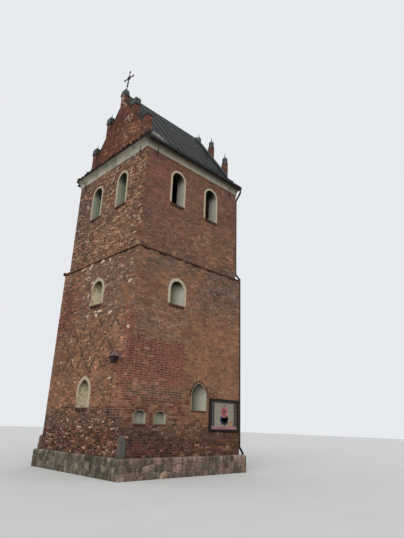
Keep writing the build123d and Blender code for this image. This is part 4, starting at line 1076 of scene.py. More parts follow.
def brick_material(name, lime=0.0, soot=0.0, pale=0.0, dark=0.0, mottle=0.16):
    """Fired clay: the brick's own colour with kiln marks, pits, lime bloom, soot, pale and dark specks."""
    m = Shader(name, roughness=0.92, specular=0.15)
    colour = m.vary(m.tint(), m.noise(9, 3), mottle)
    colour = m.vary(colour, m.noise(70, 4), 0.14)
    pits = m.span(m.cells(160), 0.12, 0.3, 1.0, 0.0)
    colour = m.mix(m.times(pits, 0.35), colour, (58, 40, 34))
    if lime:
        colour = m.stain(colour, m.noise(26, 6, 0.7), 0.60 - 0.06 * lime, 0.72, 0.6, (188, 160, 138))
    if soot:
        runs = m.noise(1.3, 5, 0.65, m.stretched(1, 1, 0.45))
        colour = m.stain(colour, runs, 0.52, 0.74, soot, (62, 56, 52))
    if dark:
        colour = m.stain(colour, m.noise(13, 2, 0.5), 0.57, 0.66, dark, (52, 38, 32))
    if pale:
        specks = m.noise(1.0, 2, 0.5, m.stretched(11, 11, 15))
        colour = m.stain(colour, specks, 0.60, 0.68, pale, (196, 166, 142))
    return m.finish(colour, m.relief((95, 5, 0.7, 0.55, 0.004), (24, 3, 0.6, 0.4, 0.006)))


def mortar_material(name, colour_a, colour_b, patches=(), sooty_inside=False):
    """Sandy lime mortar, paler and pinker in the rebuilt areas; with sooty_inside, browner above the ledge
    and pale on the belfry's inner faces.
    """
    m = Shader(name, roughness=0.95, specular=0.1)
    colour = m.mix(m.noise(1.1, 4), colour_a, colour_b)
    for limits in patches:
        colour = m.mix(m.box_mask(limits), colour, (154, 114, 99))
    colour = m.mix(m.span(m.axis(2), 1.5, 2.8, 0.7, 0.0), colour, (84, 63, 51))
    if sooty_inside:
        colour = m.stain(colour, m.axis(2), LEDGE_TOP - 0.05, LEDGE_TOP, 1.0, (96, 68, 57))
        half_x, half_y = UPPER_X - 0.52, UPPER_Y - 0.52
        room = m.box_mask([(0, -half_x, half_x), (1, -half_y, half_y)], 0.01)
        colour = m.mix(room, colour, (190, 178, 170))
    colour = m.vary(colour, m.noise(60, 5, 0.7), 0.2)
    return m.finish(colour, m.relief((260, 4, 0.7, 0.5, 0.003), (30, 4, 0.6, 0.5, 0.006)))


# Stones of the plinth: usual width and height, shades with their shares, and how rough the faces are
GREY_STONES = [(96, 90, 77, 4), (86, 80, 68, 3), (112, 104, 90, 2.5), (104, 90, 80, 1), (76, 72, 60, 1.2)]
PINK_STONES = [(116, 96, 86, 4), (102, 86, 77, 3), (128, 108, 96, 2), (92, 84, 74, 1.5)]
PLINTH_STONES = {
    "front": (0.30, 0.24, GREY_STONES, 0.020),
    "right": (0.52, 0.25, PINK_STONES, 0.009),
    "back": (0.42, 0.26, GREY_STONES, 0.009),
    "left": (0.38, 0.24, GREY_STONES, 0.010),
}
# Half the doorway, how square the stones are, and the shade of their joints
DOOR_HALF = 0.55
STONE_POWER = 3.5
STONE_JOINT = (92, 84, 70)


def stone_face(rng, side_name, half, s, z):
    """Relief and colour of a rubble face: how far each place lies behind the stones' outermost face."""
    wide, high, palette, rough = PLINTH_STONES[side_name]
    rows = max(int(round(PLINTH_TOP / high)), 1)
    seeds = []
    for j in range(rows):
        for i in range(int(math.ceil(2 * half / wide)) + 2):
            seeds.append((
                -half + (i - 0.5 + 0.5 * (j % 2) + rng.uniform(-0.42, 0.42)) * wide,
                (j + 0.5 + rng.uniform(-0.36, 0.36)) * PLINTH_TOP / rows,
            ))
    seeds = np.array(seeds)
    across = np.abs(s[:, None] - seeds[:, 0]) / wide
    up = np.abs(z[:, None] - seeds[:, 1]) / high
    far = (across**STONE_POWER + up**STONE_POWER) ** (1 / STONE_POWER)
    nearest = far.argmin(axis=1)
    first, second = np.sort(far, axis=1)[:, :2].T
    edge = np.clip((second - first) / 0.22, 0, 1)
    edge = edge * edge * (3 - 2 * edge)
    sunk = rng.uniform(0, 0.012, len(seeds))[nearest]
    lumps = (cloud(s, z, 0.11, 31) + 0.6 * cloud(s, z, 0.045, 32)) * rough
    depth = 0.002 + (0.030 - rough) * (1 - edge) + sunk + lumps
    colours, parts = palette_parts(palette)
    stones = colours[rng.choice(len(colours), len(seeds), p=parts)] * rng.uniform(0.86, 1.14, (len(seeds), 1))
    tone = 1 + (cloud(s, z * 0.35, 0.12, 33) - 0.5) * 0.5 + rng.normal(0, 0.05, len(s))
    tint = stones[nearest] * tone[:, None]
    share = (1 - edge)[:, None] ** 2 * 0.55
    return depth, to_tint(tint * (1 - share) + np.array(STONE_JOINT) * share)


# Levels up the plinth's outer face, distance between two columns of points, and tint of the cut ends
PLINTH_LEVELS = 34
PLINTH_PITCH = 0.024
PLINTH_END_TINT = (0.34, 0.32, 0.27)


def plinth_profile():
    """Inset, height and share of the relief, from the plinth's outer foot over its top to its inner foot."""
    thick = LOWER_WALL + PLINTH_PROUD
    profile = [(0.0, level, 1.0) for level in np.linspace(0, PLINTH_TOP - PLINTH_BEVEL, PLINTH_LEVELS)]
    profile += [(0.022, PLINTH_TOP - 0.042, 0.8), (0.055, PLINTH_TOP - 0.010, 0.5)]
    profile += [(inset, PLINTH_TOP - 0.004, 0.0) for inset in (0.10, 0.15, 0.20, 0.25)]
    profile += [(PLINTH_PROUD, PLINTH_TOP, 0.0), (thick, PLINTH_TOP, 0.0), (thick, 0.0, 0.0)]
    return np.array(profile).T


def rubble_material():
    """Fieldstone, mottled, with a little moss near the ground."""
    m = Shader("rubble_stone", roughness=0.9, specular=0.2)
    colour = m.vary(m.tint(), m.noise(14, 5, 0.75, m.stretched(1, 1, 0.6)), 0.45)
    colour = m.vary(colour, m.noise(48, 4, 0.7), 0.3)
    moss = m.times(m.span(m.noise(3, 5, 0.7), 0.46, 0.68), m.span(m.axis(2), 0.0, 0.8, 0.65, 0.25), 0.6)
    colour = m.mix(moss, colour, (74, 76, 56))
    return m.finish(colour, m.relief((130, 5, 0.7, 0.5, 0.004), (32, 5, 0.65, 0.5, 0.008)))


def plinth_stones():
    """The whole plinth as one closed ring of rubble, cut through at the doorway, and its guard stones."""
    rng = np.random.default_rng(5)
    x, y = LOWER_X + PLINTH_PROUD, LOWER_Y + PLINTH_PROUD
    inward, heights, shares = plinth_profile()
    rows = len(inward)
    columns = []
    tints = []
    stretches = [(side, None, None) for side in (LEFT, FRONT, RIGHT)]
    for side, start, end in [(BACK, DOOR_HALF, None), *stretches, (BACK, None, -DOOR_HALF)]:
        half = side.length(x, y)
        lo = -half if start is None else start
        hi = half if end is None else end
        count = int((hi - lo) / PLINTH_PITCH)
        s = np.repeat(np.linspace(lo, hi, count), rows)
        z = np.tile(heights, count)
        depth, tint = stone_face(rng, side.name, half, s, z)
        near_end = np.clip((half - np.abs(s)) / 0.10, 0, 1)
        depth = depth * near_end + (0.012 + 0.012 * cloud(z, z, 0.13, 34)) * (1 - near_end)
        e = np.tile(inward, count) + depth * np.tile(shares, count)
        if start is not None:
            along = start + (s - start) / (half - start) * (half - e - start)
        elif end is not None:
            along = end - (end - s) / (half + end) * (half - e + end)
        else:
            along = s / half * (half - e)
        # The first column of each later stretch is the last one of the stretch before
        first = 1 if columns else 0
        columns.extend(side.place(along, z, side.reach(x, y) - e).reshape(count, rows, 3)[first:])
        tints.extend(tint.reshape(count, rows, 3)[first:])
    faces = [(a, d, c, b) for a, b, c, d in skin_faces(len(columns), rows)] + end_faces(len(columns), rows)
    piece = Piece()
    piece.add(columns, faces, np.vstack([*tints[1:], PLINTH_END_TINT, PLINTH_END_TINT]))
    material = rubble_material()
    nodes = [f"plinth_{side.name}" for side in SIDES]
    ring = make_piece("stones_plinth", piece, material, nodes, tidy_normals=True)
    ring.data.shade_smooth()
    guard_stones(material)


# Guard stones: side of the tower, height and shade
GUARD_STONES = ((1, 0.86, (84, 80, 74)), (-1, 0.65, (98, 82, 70)))
# Their half size at the foot, taper, start of the rounded head, set into the corner, and points of the skin
GUARD_HALF = 0.18
GUARD_TAPER = 0.075
GUARD_SHOULDER = 0.82
GUARD_SET = 0.01
GUARD_POINTS = 28
GUARD_LEVELS = 20


def guard_stones(material):
    """Two rough stones set against the street corners on the plinth."""
    piece = Piece()
    turns = np.linspace(0, 2 * math.pi, GUARD_POINTS, endpoint=False)
    square = (np.abs(np.cos(turns)) ** 4 + np.abs(np.sin(turns)) ** 4) ** -0.25
    for sign, high, shade in GUARD_STONES:
        rings = []
        tints = []
        for up in np.arange(GUARD_LEVELS) / (GUARD_LEVELS - 1):
            level = np.full(GUARD_POINTS, up * high)
            half = GUARD_HALF - GUARD_TAPER * high * up
            half *= math.sqrt(max(1 - max(up - GUARD_SHOULDER, 0) ** 2 / 0.035, 0.04))
            lumps = cloud(turns * 0.6 + sign * 5, level, 0.16, 35) * 0.04
            lumps += cloud(turns * 0.6 + sign * 9, level, 0.06, 36) * 0.014
            reach = half * square - lumps + 0.012
            x = sign * (LOWER_X - GUARD_SET) + np.cos(turns) * reach
            y = -LOWER_Y + GUARD_SET + np.sin(turns) * reach
            wall_x, wall_y = LOWER_X - 0.012, LOWER_Y - 0.012
            into_x = wall_x - sign * x
            into_y = wall_y + y
            inside = (into_x > 0) & (into_y > 0)
            x = np.where(inside & (into_x <= into_y), sign * wall_x, x)
            y = np.where(inside & (into_y < into_x), -wall_y, y)
            rings.append(np.column_stack([x, y, PLINTH_TOP + level]))
            tints.append(np.array(shade) / 255 * (0.8 + 0.4 * cloud(turns, level, 0.3, 37))[:, None])
        faces = skin_faces(GUARD_LEVELS, GUARD_POINTS) + end_faces(GUARD_LEVELS, GUARD_POINTS)
        piece.add(rings, faces, np.vstack([*tints[:-1], tints[0][0], tints[-1][0]]))
    make_piece(
        "guard_stones", piece, material, ["corner_stones"], smooth=True, tidy_normals=True
    )


def slope_frame(out):
    """Direction down the slope and its normal at a place on the roof's line, as (out, z) pairs."""
    if out < BELLCAST_X:
        down = np.array((1.0, -ROOF_SLOPE))
    else:
        down = np.array((EAVES_X - BELLCAST_X, EAVES_Z - BELLCAST_Z))
    down = down / np.linalg.norm(down)
    return down, np.array((-down[1], down[0]))


# Distance between two seams, half width and height of seams and verge rolls, and half sizes of cross folds
SEAM_PITCH = 0.53
SEAM = (0.011, 0.024)
VERGE_ROLL = (0.028, 0.045)
FOLD = (0.014, 0.007)


def seam_rings(side, mark, line, broad, tall):
    """Points of one seam or roll down a slope: six round its section at each bend of the roof's line."""
    section = (
        (-broad, -0.004), (-broad, tall * 0.8), (-broad * 0.4, tall),
        (broad * 0.4, tall), (broad, tall * 0.8), (broad, -0.004),
    )
    points = []
    for out, z in line:
        normal = slope_frame(out - 0.01)[1] + slope_frame(out + 0.01)[1]
        normal /= np.linalg.norm(normal)
        for across, up in section:
            points.append(side.place(mark + across, z + normal[1] * up, out + normal[0] * up))
    return points


def roof_seams(material):
    """Standing seams down both slopes, staggered cross folds between them, and rolls at the verges."""
    rng = np.random.default_rng(8)
    piece = Piece()
    line = [(RIDGE_WING, RIDGE_TOP - ROOF_SLOPE * RIDGE_WING), (BELLCAST_X, BELLCAST_Z)]
    line.append((EAVES_X - 0.004, EAVES_Z + 0.004))
    faces = skin_faces(3, 6) + end_faces(3, 6)
    marks = [k * SEAM_PITCH for k in range(-5, 6)]
    rolls = [-SHEET_END + 0.03, SHEET_END - 0.03]
    for side in (RIGHT, LEFT):
        for mark in marks + rolls:
            sizes = VERGE_ROLL if mark in rolls else SEAM
            piece.add(seam_rings(side, mark, line, *sizes), faces, (0.9, 0.9, 0.9))
        for low, high in zip(marks[:-1], marks[1:]):
            out = rng.uniform(0.25, 1.0)
            while out < BELLCAST_X - 0.1:
                z = RIDGE_TOP - ROOF_SLOPE * out
                axes = [side.right] + [side.outward * way[0] + UP * way[1] for way in slope_frame(out)]
                halves = ((high - low) / 2 - 0.012, *FOLD)
                add_block(piece, side.place((low + high) / 2, z, out), halves, (0.8, 0.8, 0.8), 0.003, axes)
                out += rng.uniform(0.85, 1.15)
    make_piece("roof_seams", piece, material, tidy_normals=True)


# Trim bricks: lengths, heights, depth and shades
STRING_LENGTHS = (0.14, 0.285, 0.285)
STRING_SHADE = (70, 40, 32)
# The street face's string bricks are paler: painted light on the lit nose of the course
STREET_STRING_PAINTED_LIGHT = (136, 100, 76)


def string_bricks(material):
    """Dark red-brown bricks on the nose of the string course, worn to different lengths."""
    rng = np.random.default_rng(3)
    piece = Piece()
    for side in SIDES:
        half = side.length(LOWER_X, LOWER_Y) + (-0.07 if side.across else STRING_PROUD)
        reach = side.face("lower") + STRING_PROUD
        middle = STRING_BOTTOM + STRING_NOSE / 2 - 0.001
        at = -half
        while at < half - 0.02:
            end = min(at + rng.choice(STRING_LENGTHS), half)
            if half - end < 0.07:
                end = half
            centre = ((at + end) / 2, middle, reach + rng.uniform(0.002, 0.008) - 0.03)
            halves = ((end - at) / 2 - 0.004, 0.03, STRING_NOSE / 2)
            # Paler string bricks on the street face are painted light
            shade = np.array(STREET_STRING_PAINTED_LIGHT if side is FRONT else STRING_SHADE) * rng.uniform(0.8, 1.2)
            add_brick(piece, rng, side, centre, halves, shade, 0.007, 0.002)
            at = end
    knob = FRONT.place(-LOWER_X - 0.01, STRING_BOTTOM + 0.03, LOWER_Y + 0.035)
    add_block(piece, knob, (0.085, 0.07, 0.09), (0.15, 0.13, 0.12), 0.03, None, rng.normal(0, 0.008, (8, 3)))
    make_piece("bricks_string", piece, material, tidy_normals=True)


LEDGE_HEIGHTS = (0.06, 0.09, 0.115)
LEDGE_HALF_DEPTH = 0.11
# Near-black: the bricks' own dark colour together with painted shadow of the ledge
LEDGE_SHADE = (27, 20, 17)


def ledge_bricks(material):
    """Bricks on edge along the drip ledge under the gables, some of them worn short."""
    rng = np.random.default_rng(4)
    piece = Piece()
    for side in (FRONT, BACK):
        half = UPPER_X + DRIP_REACH - 0.02
        reach = UPPER_Y + DRIP_REACH
        at = -half
        while at < half - 0.05:
            end = at + rng.uniform(0.075, 0.10)
            back = rng.uniform(0.0, 0.035) if rng.random() < 0.7 else rng.uniform(0.05, 0.10)
            high = rng.choice(LEDGE_HEIGHTS) * rng.uniform(0.85, 1.1)
            centre = ((at + end) / 2, WALL_HEAD + 0.02 + high, reach + 0.012 - back - LEDGE_HALF_DEPTH)
            halves = ((end - at) / 2 - 0.005, LEDGE_HALF_DEPTH, high)
            shade = np.array(LEDGE_SHADE) * rng.uniform(0.6, 1.6)
            add_brick(piece, rng, side, centre, halves, shade, 0.008, 0.003)
            at = end
    make_piece("bricks_ledge", piece, material, tidy_normals=True)


SILL_PITCH = 0.085
SILL_SHADE = (66, 42, 35)


def sill_bricks(material):
    """Headers on edge along the outer edge of every sill, dark red with worn pale arrises."""
    rng = np.random.default_rng(14)
    piece = Piece()
    for (stage, side_name), openings in OPENINGS.items():
        side = next(one for one in SIDES if one.name == side_name)
        for opening in openings:
            if not opening.band:
                continue
            count = max(int(round(2 * opening.half / SILL_PITCH)), 3)
            edges = np.linspace(-opening.half, opening.half, count + 1) + opening.middle
            for at, end in zip(edges[:-1], edges[1:]):
                shade = np.array(SILL_SHADE) * rng.uniform(0.75, 1.2)
                centre = ((at + end) / 2, opening.bottom - 0.02, side.face(stage) + 0.014)
                halves = ((end - at) / 2 - 0.003, 0.03, 0.066)
                add_brick(piece, rng, side, centre, halves, shade, 0.007, 0.002)
    make_piece("bricks_sills", piece, material, tidy_normals=True)


# Dabs of old mortar: their shades, how far off the wall they lie, and fields of them with side, stage, count,
# places across and up, and size
FLECK_SHADES = ((186, 160, 144), (168, 140, 122), (150, 112, 88), (176, 128, 98), (196, 178, 162))
PLASTER_SHADE = (206, 182, 162)
BROWN_SHADE = (132, 94, 73)
GABLE_SHADE = (188, 170, 156)
FLECK_OUT = 0.0125
FLECK_FIELDS = (
    (FRONT, "upper", 620, (-3.15, 3.15), (10.2, 15.4), 0.026),
    (FRONT, "lower", 330, (-3.3, 3.3), (2.0, 9.8), 0.018),
    (FRONT, "lower", 150, (-3.2, 3.2), (0.85, 2.3), 0.022),
    (FRONT, "lower", 150, (-1.0, 2.9), (8.3, 9.8), 0.014),
    (RIGHT, "upper", 130, (-3.3, 3.3), (10.3, 15.4), 0.012),
    (RIGHT, "upper", 330, (-3.3, 1.6), (10.3, 12.9), 0.010),
    (RIGHT, "lower", 170, (-3.4, 3.4), (1.2, 9.8), 0.012),
    (RIGHT, "lower", 330, (-3.4, -0.2), (5.6, 7.6), 0.011),
    (RIGHT, "lower", 260, (0.6, 3.35), (7.5, 9.7), 0.010),
    (LEFT, "lower", 90, (-3.4, 3.4), (1.2, 9.8), 0.015),
    (BACK, "lower", 90, (-3.3, 3.3), (1.2, 9.8), 0.015),
    (LEFT, "upper", 60, (-3.3, 3.3), (10.3, 15.4), 0.015),
    (BACK, "upper", 60, (-3.15, 3.15), (10.3, 15.4), 0.015),
)


def add_fleck(piece, rng, side, out, s, z, wide, high, shade, corners=9):
    """A thin irregular dab of mortar or plaster, a little domed, lying on the bricks."""
    turns = np.linspace(0, 2 * math.pi, corners, endpoint=False) + rng.uniform(0, 1)
    size = rng.uniform(0.62, 1.12, corners)
    thick = 0.004 + rng.uniform(0, 0.0025)
    across = np.cos(turns) * size * wide
    up = np.sin(turns) * size * high
    rings = [
        side.place(s + across * share, z + up * share, out + raised)
        for share, raised in ((1, -0.012), (1, thick * 0.3), (0.72, thick))
    ]
    faces = skin_faces(3, corners) + [tuple(range(2 * corners, 3 * corners))]
    piece.add(rings, faces, np.array(shade) / 255)


# White and pinkish patches of old plaster on the street face: s, z, half width and half height
FRONT_PATCHES = [
    (-1.38, 9.76, 0.16, 0.07), (-0.77, 9.76, 0.13, 0.12), (-0.45, 9.84, 0.13, 0.05), (0.44, 9.78, 0.20, 0.09),
    (1.12, 9.72, 0.14, 0.12), (1.39, 9.24, 0.08, 0.05), (-0.91, 9.17, 0.24, 0.07), (-1.10, 8.78, 0.12, 0.06),
    (3.00, 8.20, 0.12, 0.13), (0.94, 8.26, 0.08, 0.14), (-0.52, 8.13, 0.10, 0.08), (-0.43, 7.04, 0.12, 0.08),
    (0.40, 7.00, 0.16, 0.11), (0.66, 7.19, 0.24, 0.09), (1.55, 6.96, 0.17, 0.11), (3.14, 6.10, 0.15, 0.08),
    (-1.74, 5.96, 0.07, 0.09), (0.34, 4.97, 0.08, 0.12), (-1.27, 4.96, 0.07, 0.08), (-2.51, 4.94, 0.06, 0.07),
    (-2.44, 3.91, 0.07, 0.07), (-0.89, 3.90, 0.09, 0.06), (2.10, 3.96, 0.10, 0.07),
]
# The same on the street gable, each with its count of dabs
GABLE_PATCHES = [
    (0.07, 20.60, 0.14, 0.12, 16), (0.07, 20.25, 0.14, 0.16, 12), (1.33, 19.55, 0.12, 0.10, 9),
    (1.05, 18.5, 0.28, 0.30, 16), (-0.4, 17.8, 1.2, 0.8, 16), (1.4, 17.0, 0.8, 0.6, 10),
]


def near_opening(side, stage, s, z, margin):
    """Whether a place lies on an opening, its trim or a margin round them."""
    return any(
        abs(s - o.middle) < o.half + (o.band or RING) + margin and o.bottom - 0.1 < z < o.crown + 0.25
        for o in OPENINGS[stage, side.name]
    )


def flecks(material):
    """Dabs and patches of mortar and plaster left on the brickwork, most of them on the street face."""
    rng = np.random.default_rng(6)
    piece = Piece()
    for side, stage, count, places, heights, size in FLECK_FIELDS:
        for _ in range(count):
            s = rng.uniform(*places)
            z = rng.uniform(*heights)
            grow = size * min(rng.lognormal(0, 0.5), 1.9) * 1.3
            on_picture = stage == "lower" and side is RIGHT and s > 1.2 and z < 3.5
            if on_picture or near_opening(side, stage, s, z, 2 * grow):
                continue
            shade = np.array(FLECK_SHADES[rng.integers(0, 5)]) * rng.uniform(0.8, 1.05)
            add_fleck(piece, rng, side, side.face(stage) + FLECK_OUT, s, z, grow * 1.7, grow * 0.8, shade)
    for s, z, wide, high in FRONT_PATCHES:
        for _ in range(3):
            shade = np.array(PLASTER_SHADE) * rng.uniform(0.88, 1.03)
            out = LOWER_Y + FLECK_OUT + rng.uniform(0, 0.002)
            place = (s + rng.normal(0, wide * 0.5), z + rng.normal(0, high * 0.4))
            sizes = (wide * rng.uniform(0.4, 0.8), high * rng.uniform(0.5, 0.9))
            add_fleck(piece, rng, FRONT, out, *place, *sizes, shade)
    for _ in range(9):
        shade = np.array(BROWN_SHADE) * rng.uniform(0.94, 1.04)
        out = LOWER_Y + FLECK_OUT + rng.uniform(0, 0.002)
        place = (rng.uniform(2.68, 2.95), rng.uniform(7.35, 8.05))
        add_fleck(piece, rng, FRONT, out, *place, 0.16, 0.15, shade, 11)
    for s, z, wide, high, count in GABLE_PATCHES:
        for _ in range(count):
            shade = np.array(GABLE_SHADE) * rng.uniform(0.8, 1.0)
            size = rng.uniform(0.025, 0.05)
            place = (s + rng.uniform(-wide, wide), z + rng.uniform(-high, high))
            add_fleck(piece, rng, FRONT, GABLE_FACE + FLECK_OUT, *place, size * 1.4, size, shade)
    make_piece("plaster_flecks", piece, material, tidy_normals=True)


# Printed picture: its middle on the right wall, half its sizes and the step between two layers
PICTURE_MIDDLE = (2.405, 2.615)
PRINT_WIDE = 0.945
PRINT_HIGH = 0.635
PRINT_LAYER = 0.0012
# Lower petals: turn, length, breadth and shade
LOW_PETALS = (
    (3.9, 0.34, 0.085, (44, 50, 92)),
    (4.35, 0.40, 0.10, (38, 44, 78)),
    (4.8, 0.42, 0.11, (48, 44, 48)),
    (5.25, 0.40, 0.11, (40, 38, 42)),
    (5.7, 0.32, 0.08, (54, 48, 46)),
)
LEAF_ALONG = (0, 0.15, 0.35, 0.55, 0.75, 0.92, 1.0)
LEAF_ACROSS = (0, 0.55, 0.95, 1.0, 0.8, 0.4, 0)


def flat_shape(piece, points, layer, shade):
    """A flat shape painted on the picture, from places (y, z) on it."""
    y, z = (np.array(points, float) + PICTURE_MIDDLE).T
    corners = RIGHT.place(y, z, LOWER_X + PICTURE_GROUND + layer * PRINT_LAYER)
    piece.add(corners, [tuple(range(len(y)))], np.array(shade) / 255)


def leaf(piece, y, z, turn, length, broad, layer, shade):
    """Paints a leaf or petal from its foot at (y, z)."""
    left = [(a * length, w * broad) for a, w in zip(LEAF_ALONG, LEAF_ACROSS)]
    outline = left + [(a, -w) for a, w in left[-2:0:-1]]
    cos, sin = math.cos(turn), math.sin(turn)
    flat_shape(piece, [(y + cos * a - sin * b, z + sin * a + cos * b) for a, b in outline], layer, shade)


def bar(piece, y0, y1, z0, z1, layer, shade):
    """Paints an upright rectangle."""
    flat_shape(piece, [(y0, z0), (y1, z0), (y1, z1), (y0, z1)], layer, shade)


def picture_print():
    """A plain ornament in place of the picture: a bunch of petals on a pale ground between dark borders."""
    piece = Piece()
    rng = np.random.default_rng(2)
    bar(piece, -PRINT_WIDE, PRINT_WIDE, -PRINT_HIGH, PRINT_HIGH, 0.6, (136, 128, 114))
    bar(piece, -PRINT_WIDE, PRINT_WIDE, PRINT_HIGH - 0.06, PRINT_HIGH, 1, (74, 66, 58))
    for sign in (-1, 1):
        low, high = sorted((sign * 0.70, sign * PRINT_WIDE))
        bar(piece, low, high, -PRINT_HIGH, PRINT_HIGH, 1.2, (76, 66, 60))
        y = sign * 0.825
        for k in range(11):
            z = -PRINT_HIGH + 0.10 + k * 0.112
            for turn in (0.4, 2.7, 3.6, 5.8):
                leaf(piece, y, z, turn, 0.095, 0.022, 1.8, (42, 32, 32))
            leaf(piece, y - 0.03, z + 0.05, 0.1, 0.06, 0.02, 2.2, (150, 144, 132))
    for turn, length, broad, shade in LOW_PETALS:
        leaf(piece, 0, 0, turn, length * 1.2, broad * 1.35, 2.0, shade)
    for k in range(9):
        turn = k * 2 * math.pi / 9 + 0.2
        outer = np.array((168, 104, 100)) * rng.uniform(0.85, 1.15)
        inner = np.array((142, 62, 60)) * rng.uniform(0.8, 1.2)
        leaf(piece, 0, 0.16, turn, 0.30, 0.078, 3.0, outer)
        leaf(piece, 0, 0.16, turn + 0.3, 0.19, 0.05, 3.8, inner)
        leaf(piece, 0, 0.16, turn, 0.095, 0.033, 4.6, (190, 160, 150))
    for k in range(5):
        leaf(piece, 0.02, 0.43, 0.5 + k * 0.52, 0.10, 0.022, 2.4, (84, 92, 72))
    bar(piece, -PRINT_WIDE, PRINT_WIDE, -PRINT_HIGH, -PRINT_HIGH + 0.12, 2.4, (158, 108, 118))
    bar(piece, 0.36, 0.66, -PRINT_HIGH + 0.12, -PRINT_HIGH + 0.34, 2.8, (142, 96, 62))
    bar(piece, 0.41, 0.61, -PRINT_HIGH + 0.16, -PRINT_HIGH + 0.29, 3.6, (176, 136, 88))
    for _ in range(9):
        y = -0.62 + rng.uniform(0, 0.85)
        leaf(piece, y, -PRINT_HIGH + 0.05, rng.uniform(0.1, 0.3), 0.10, 0.018, 3.2, (104, 66, 76))
    m = Shader("painted_print", roughness=0.45, specular=0.35)
    colour = m.vary(m.tint(), m.noise(7, 5, 0.6), 0.16)
    colour = m.vary(colour, m.noise(60, 4), 0.10)
    finish = m.finish(colour, m.relief((40, 4, 0.6, 0.15, 0.002)))
    make_piece("picture_print", piece, finish)


# Door leaf: boards, half its width, its foot, and the start and radius of its arch
BOARDS = 6
LEAF_HALF = 0.475
LEAF_BOTTOM = 0.145
LEAF_SPRING = 1.98
LEAF_RADIUS = 0.700


def door_boards(wood, iron):
    """Boards, strap hinges, studs and a latch on the door."""
    rng = np.random.default_rng(9)
    boards = Piece()
    metal = Piece()

    def add_iron(s, z, proud, halves, bevel):
        """Adds one iron on the boards."""
        add_block(metal, BACK.place(s, z, DOOR_FACE + proud), halves, (1, 1, 1), bevel, BACK.axes)

    wide = 2 * LEAF_HALF / BOARDS
    for k in range(BOARDS):
        s = -LEAF_HALF + (k + 0.5) * wide
        edge = abs(s) + wide / 2
        top = LEAF_SPRING + math.sqrt(LEAF_RADIUS**2 - edge**2)
        centre = BACK.place(s, (LEAF_BOTTOM + top) / 2, DOOR_FACE + 0.009)
        shade = np.array((84, 58, 42)) * rng.uniform(0.85, 1.15) / 255
        add_block(boards, centre, (wide / 2 - 0.003, 0.011, (top - LEAF_BOTTOM) / 2), shade, 0.004, BACK.axes)
    for z in (0.55, 1.35, 2.15):
        add_iron(-0.06, z, 0.023, (0.40, 0.004, 0.028), 0.002)
        for s in np.linspace(-0.40, 0.28, 6):
            add_iron(s, z, 0.030, (0.011, 0.006, 0.011), 0.004)
    add_iron(0.36, 1.2, 0.023, (0.045, 0.004, 0.10), 0.002)
    add_iron(0.36, 1.22, 0.045, (0.012, 0.022, 0.05), 0.006)
    make_piece("door_boards", boards, wood, tidy_normals=True)
    make_piece("door_irons", metal, iron, tidy_normals=True)


def cad_material(material, *nodes):
    """Gives CAD nodes their finish through their material slots."""
    for node in nodes:
        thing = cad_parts[node]
        if not thing.material_slots:
            thing.data.materials.append(material)
        for slot in thing.material_slots:
            slot.material = material


def set_camera():
    """The photo's viewpoint and framing."""
    yaw, tilt, roll = (math.radians(a) for a in (CAMERA_TURN, CAMERA_TILT, CAMERA_ROLL))
    ahead = Vector((-math.sin(yaw) * math.cos(tilt), math.cos(yaw) * math.cos(tilt), math.sin(tilt)))
    level = Vector((math.cos(yaw), math.sin(yaw), 0))
    upward = level.cross(ahead)
    right = math.cos(roll) * level + math.sin(roll) * upward
    up = -math.sin(roll) * level + math.cos(roll) * upward
    data = bpy.data.cameras.new("photo_camera")
    data.sensor_width = SENSOR_WIDTH
    data.lens = FOCAL_PIXELS / max(PHOTO_SIZE) * SENSOR_WIDTH
    data.clip_end = 500
    camera = bpy.data.objects.new("photo_camera", data)
    turn = Matrix((right, up, -ahead)).transposed()
    camera.matrix_world = Matrix.Translation(CAMERA_PLACE) @ turn.to_4x4()
    bpy.context.scene.collection.objects.link(camera)
    bpy.context.scene.camera = camera


SKY_COLOUR = (0.93, 0.96, 1.0, 1)
SKY_STRENGTH = 0.92
SUN_STRENGTH = 1.75
SUN_SPREAD = 60
SUN_FROM = (0.66, -0.80, 0.86)
FLOOR_HALF = 120.0


def set_light():
    """Overcast sky, plain level, with a broad soft light from the street side, and a pale backdrop."""
    world = bpy.data.worlds.new("overcast")
    bpy.context.scene.world = world
    world.use_nodes = True
    tree = world.node_tree
    sky = tree.nodes["Background"]
    sky.inputs["Color"].default_value = SKY_COLOUR
    sky.inputs["Strength"].default_value = SKY_STRENGTH
    seen = tree.nodes.new("ShaderNodeBackground")
    seen.inputs["Color"].default_value = (*rgb(232, 234, 237), 1)
    seen.inputs["Strength"].default_value = 1.0
    path = tree.nodes.new("ShaderNodeLightPath")
    shown = path.outputs["Is Camera Ray"]
    for ray in ("Is Glossy Ray", "Is Transmission Ray"):
        either = tree.nodes.new("ShaderNodeMath")
        either.operation = "MAXIMUM"
        tree.links.new(shown, either.inputs[0])
        tree.links.new(path.outputs[ray], either.inputs[1])
        shown = either.outputs[0]
    mix = tree.nodes.new("ShaderNodeMixShader")
    tree.links.new(shown, mix.inputs[0])
    tree.links.new(sky.outputs[0], mix.inputs[1])
    tree.links.new(seen.outputs[0], mix.inputs[2])
    tree.links.new(mix.outputs[0], tree.nodes["World Output"].inputs[0])
    light = bpy.data.lights.new("high_cloud", "SUN")
    light.energy = SUN_STRENGTH
    light.angle = math.radians(SUN_SPREAD)
    light.color = (1.0, 0.98, 0.95)
    lamp = bpy.data.objects.new("high_cloud", light)
    lamp.rotation_euler = Vector(SUN_FROM).to_track_quat("Z", "Y").to_euler()
    bpy.context.scene.collection.objects.link(lamp)
    bpy.context.scene.view_settings.view_transform = "Standard"


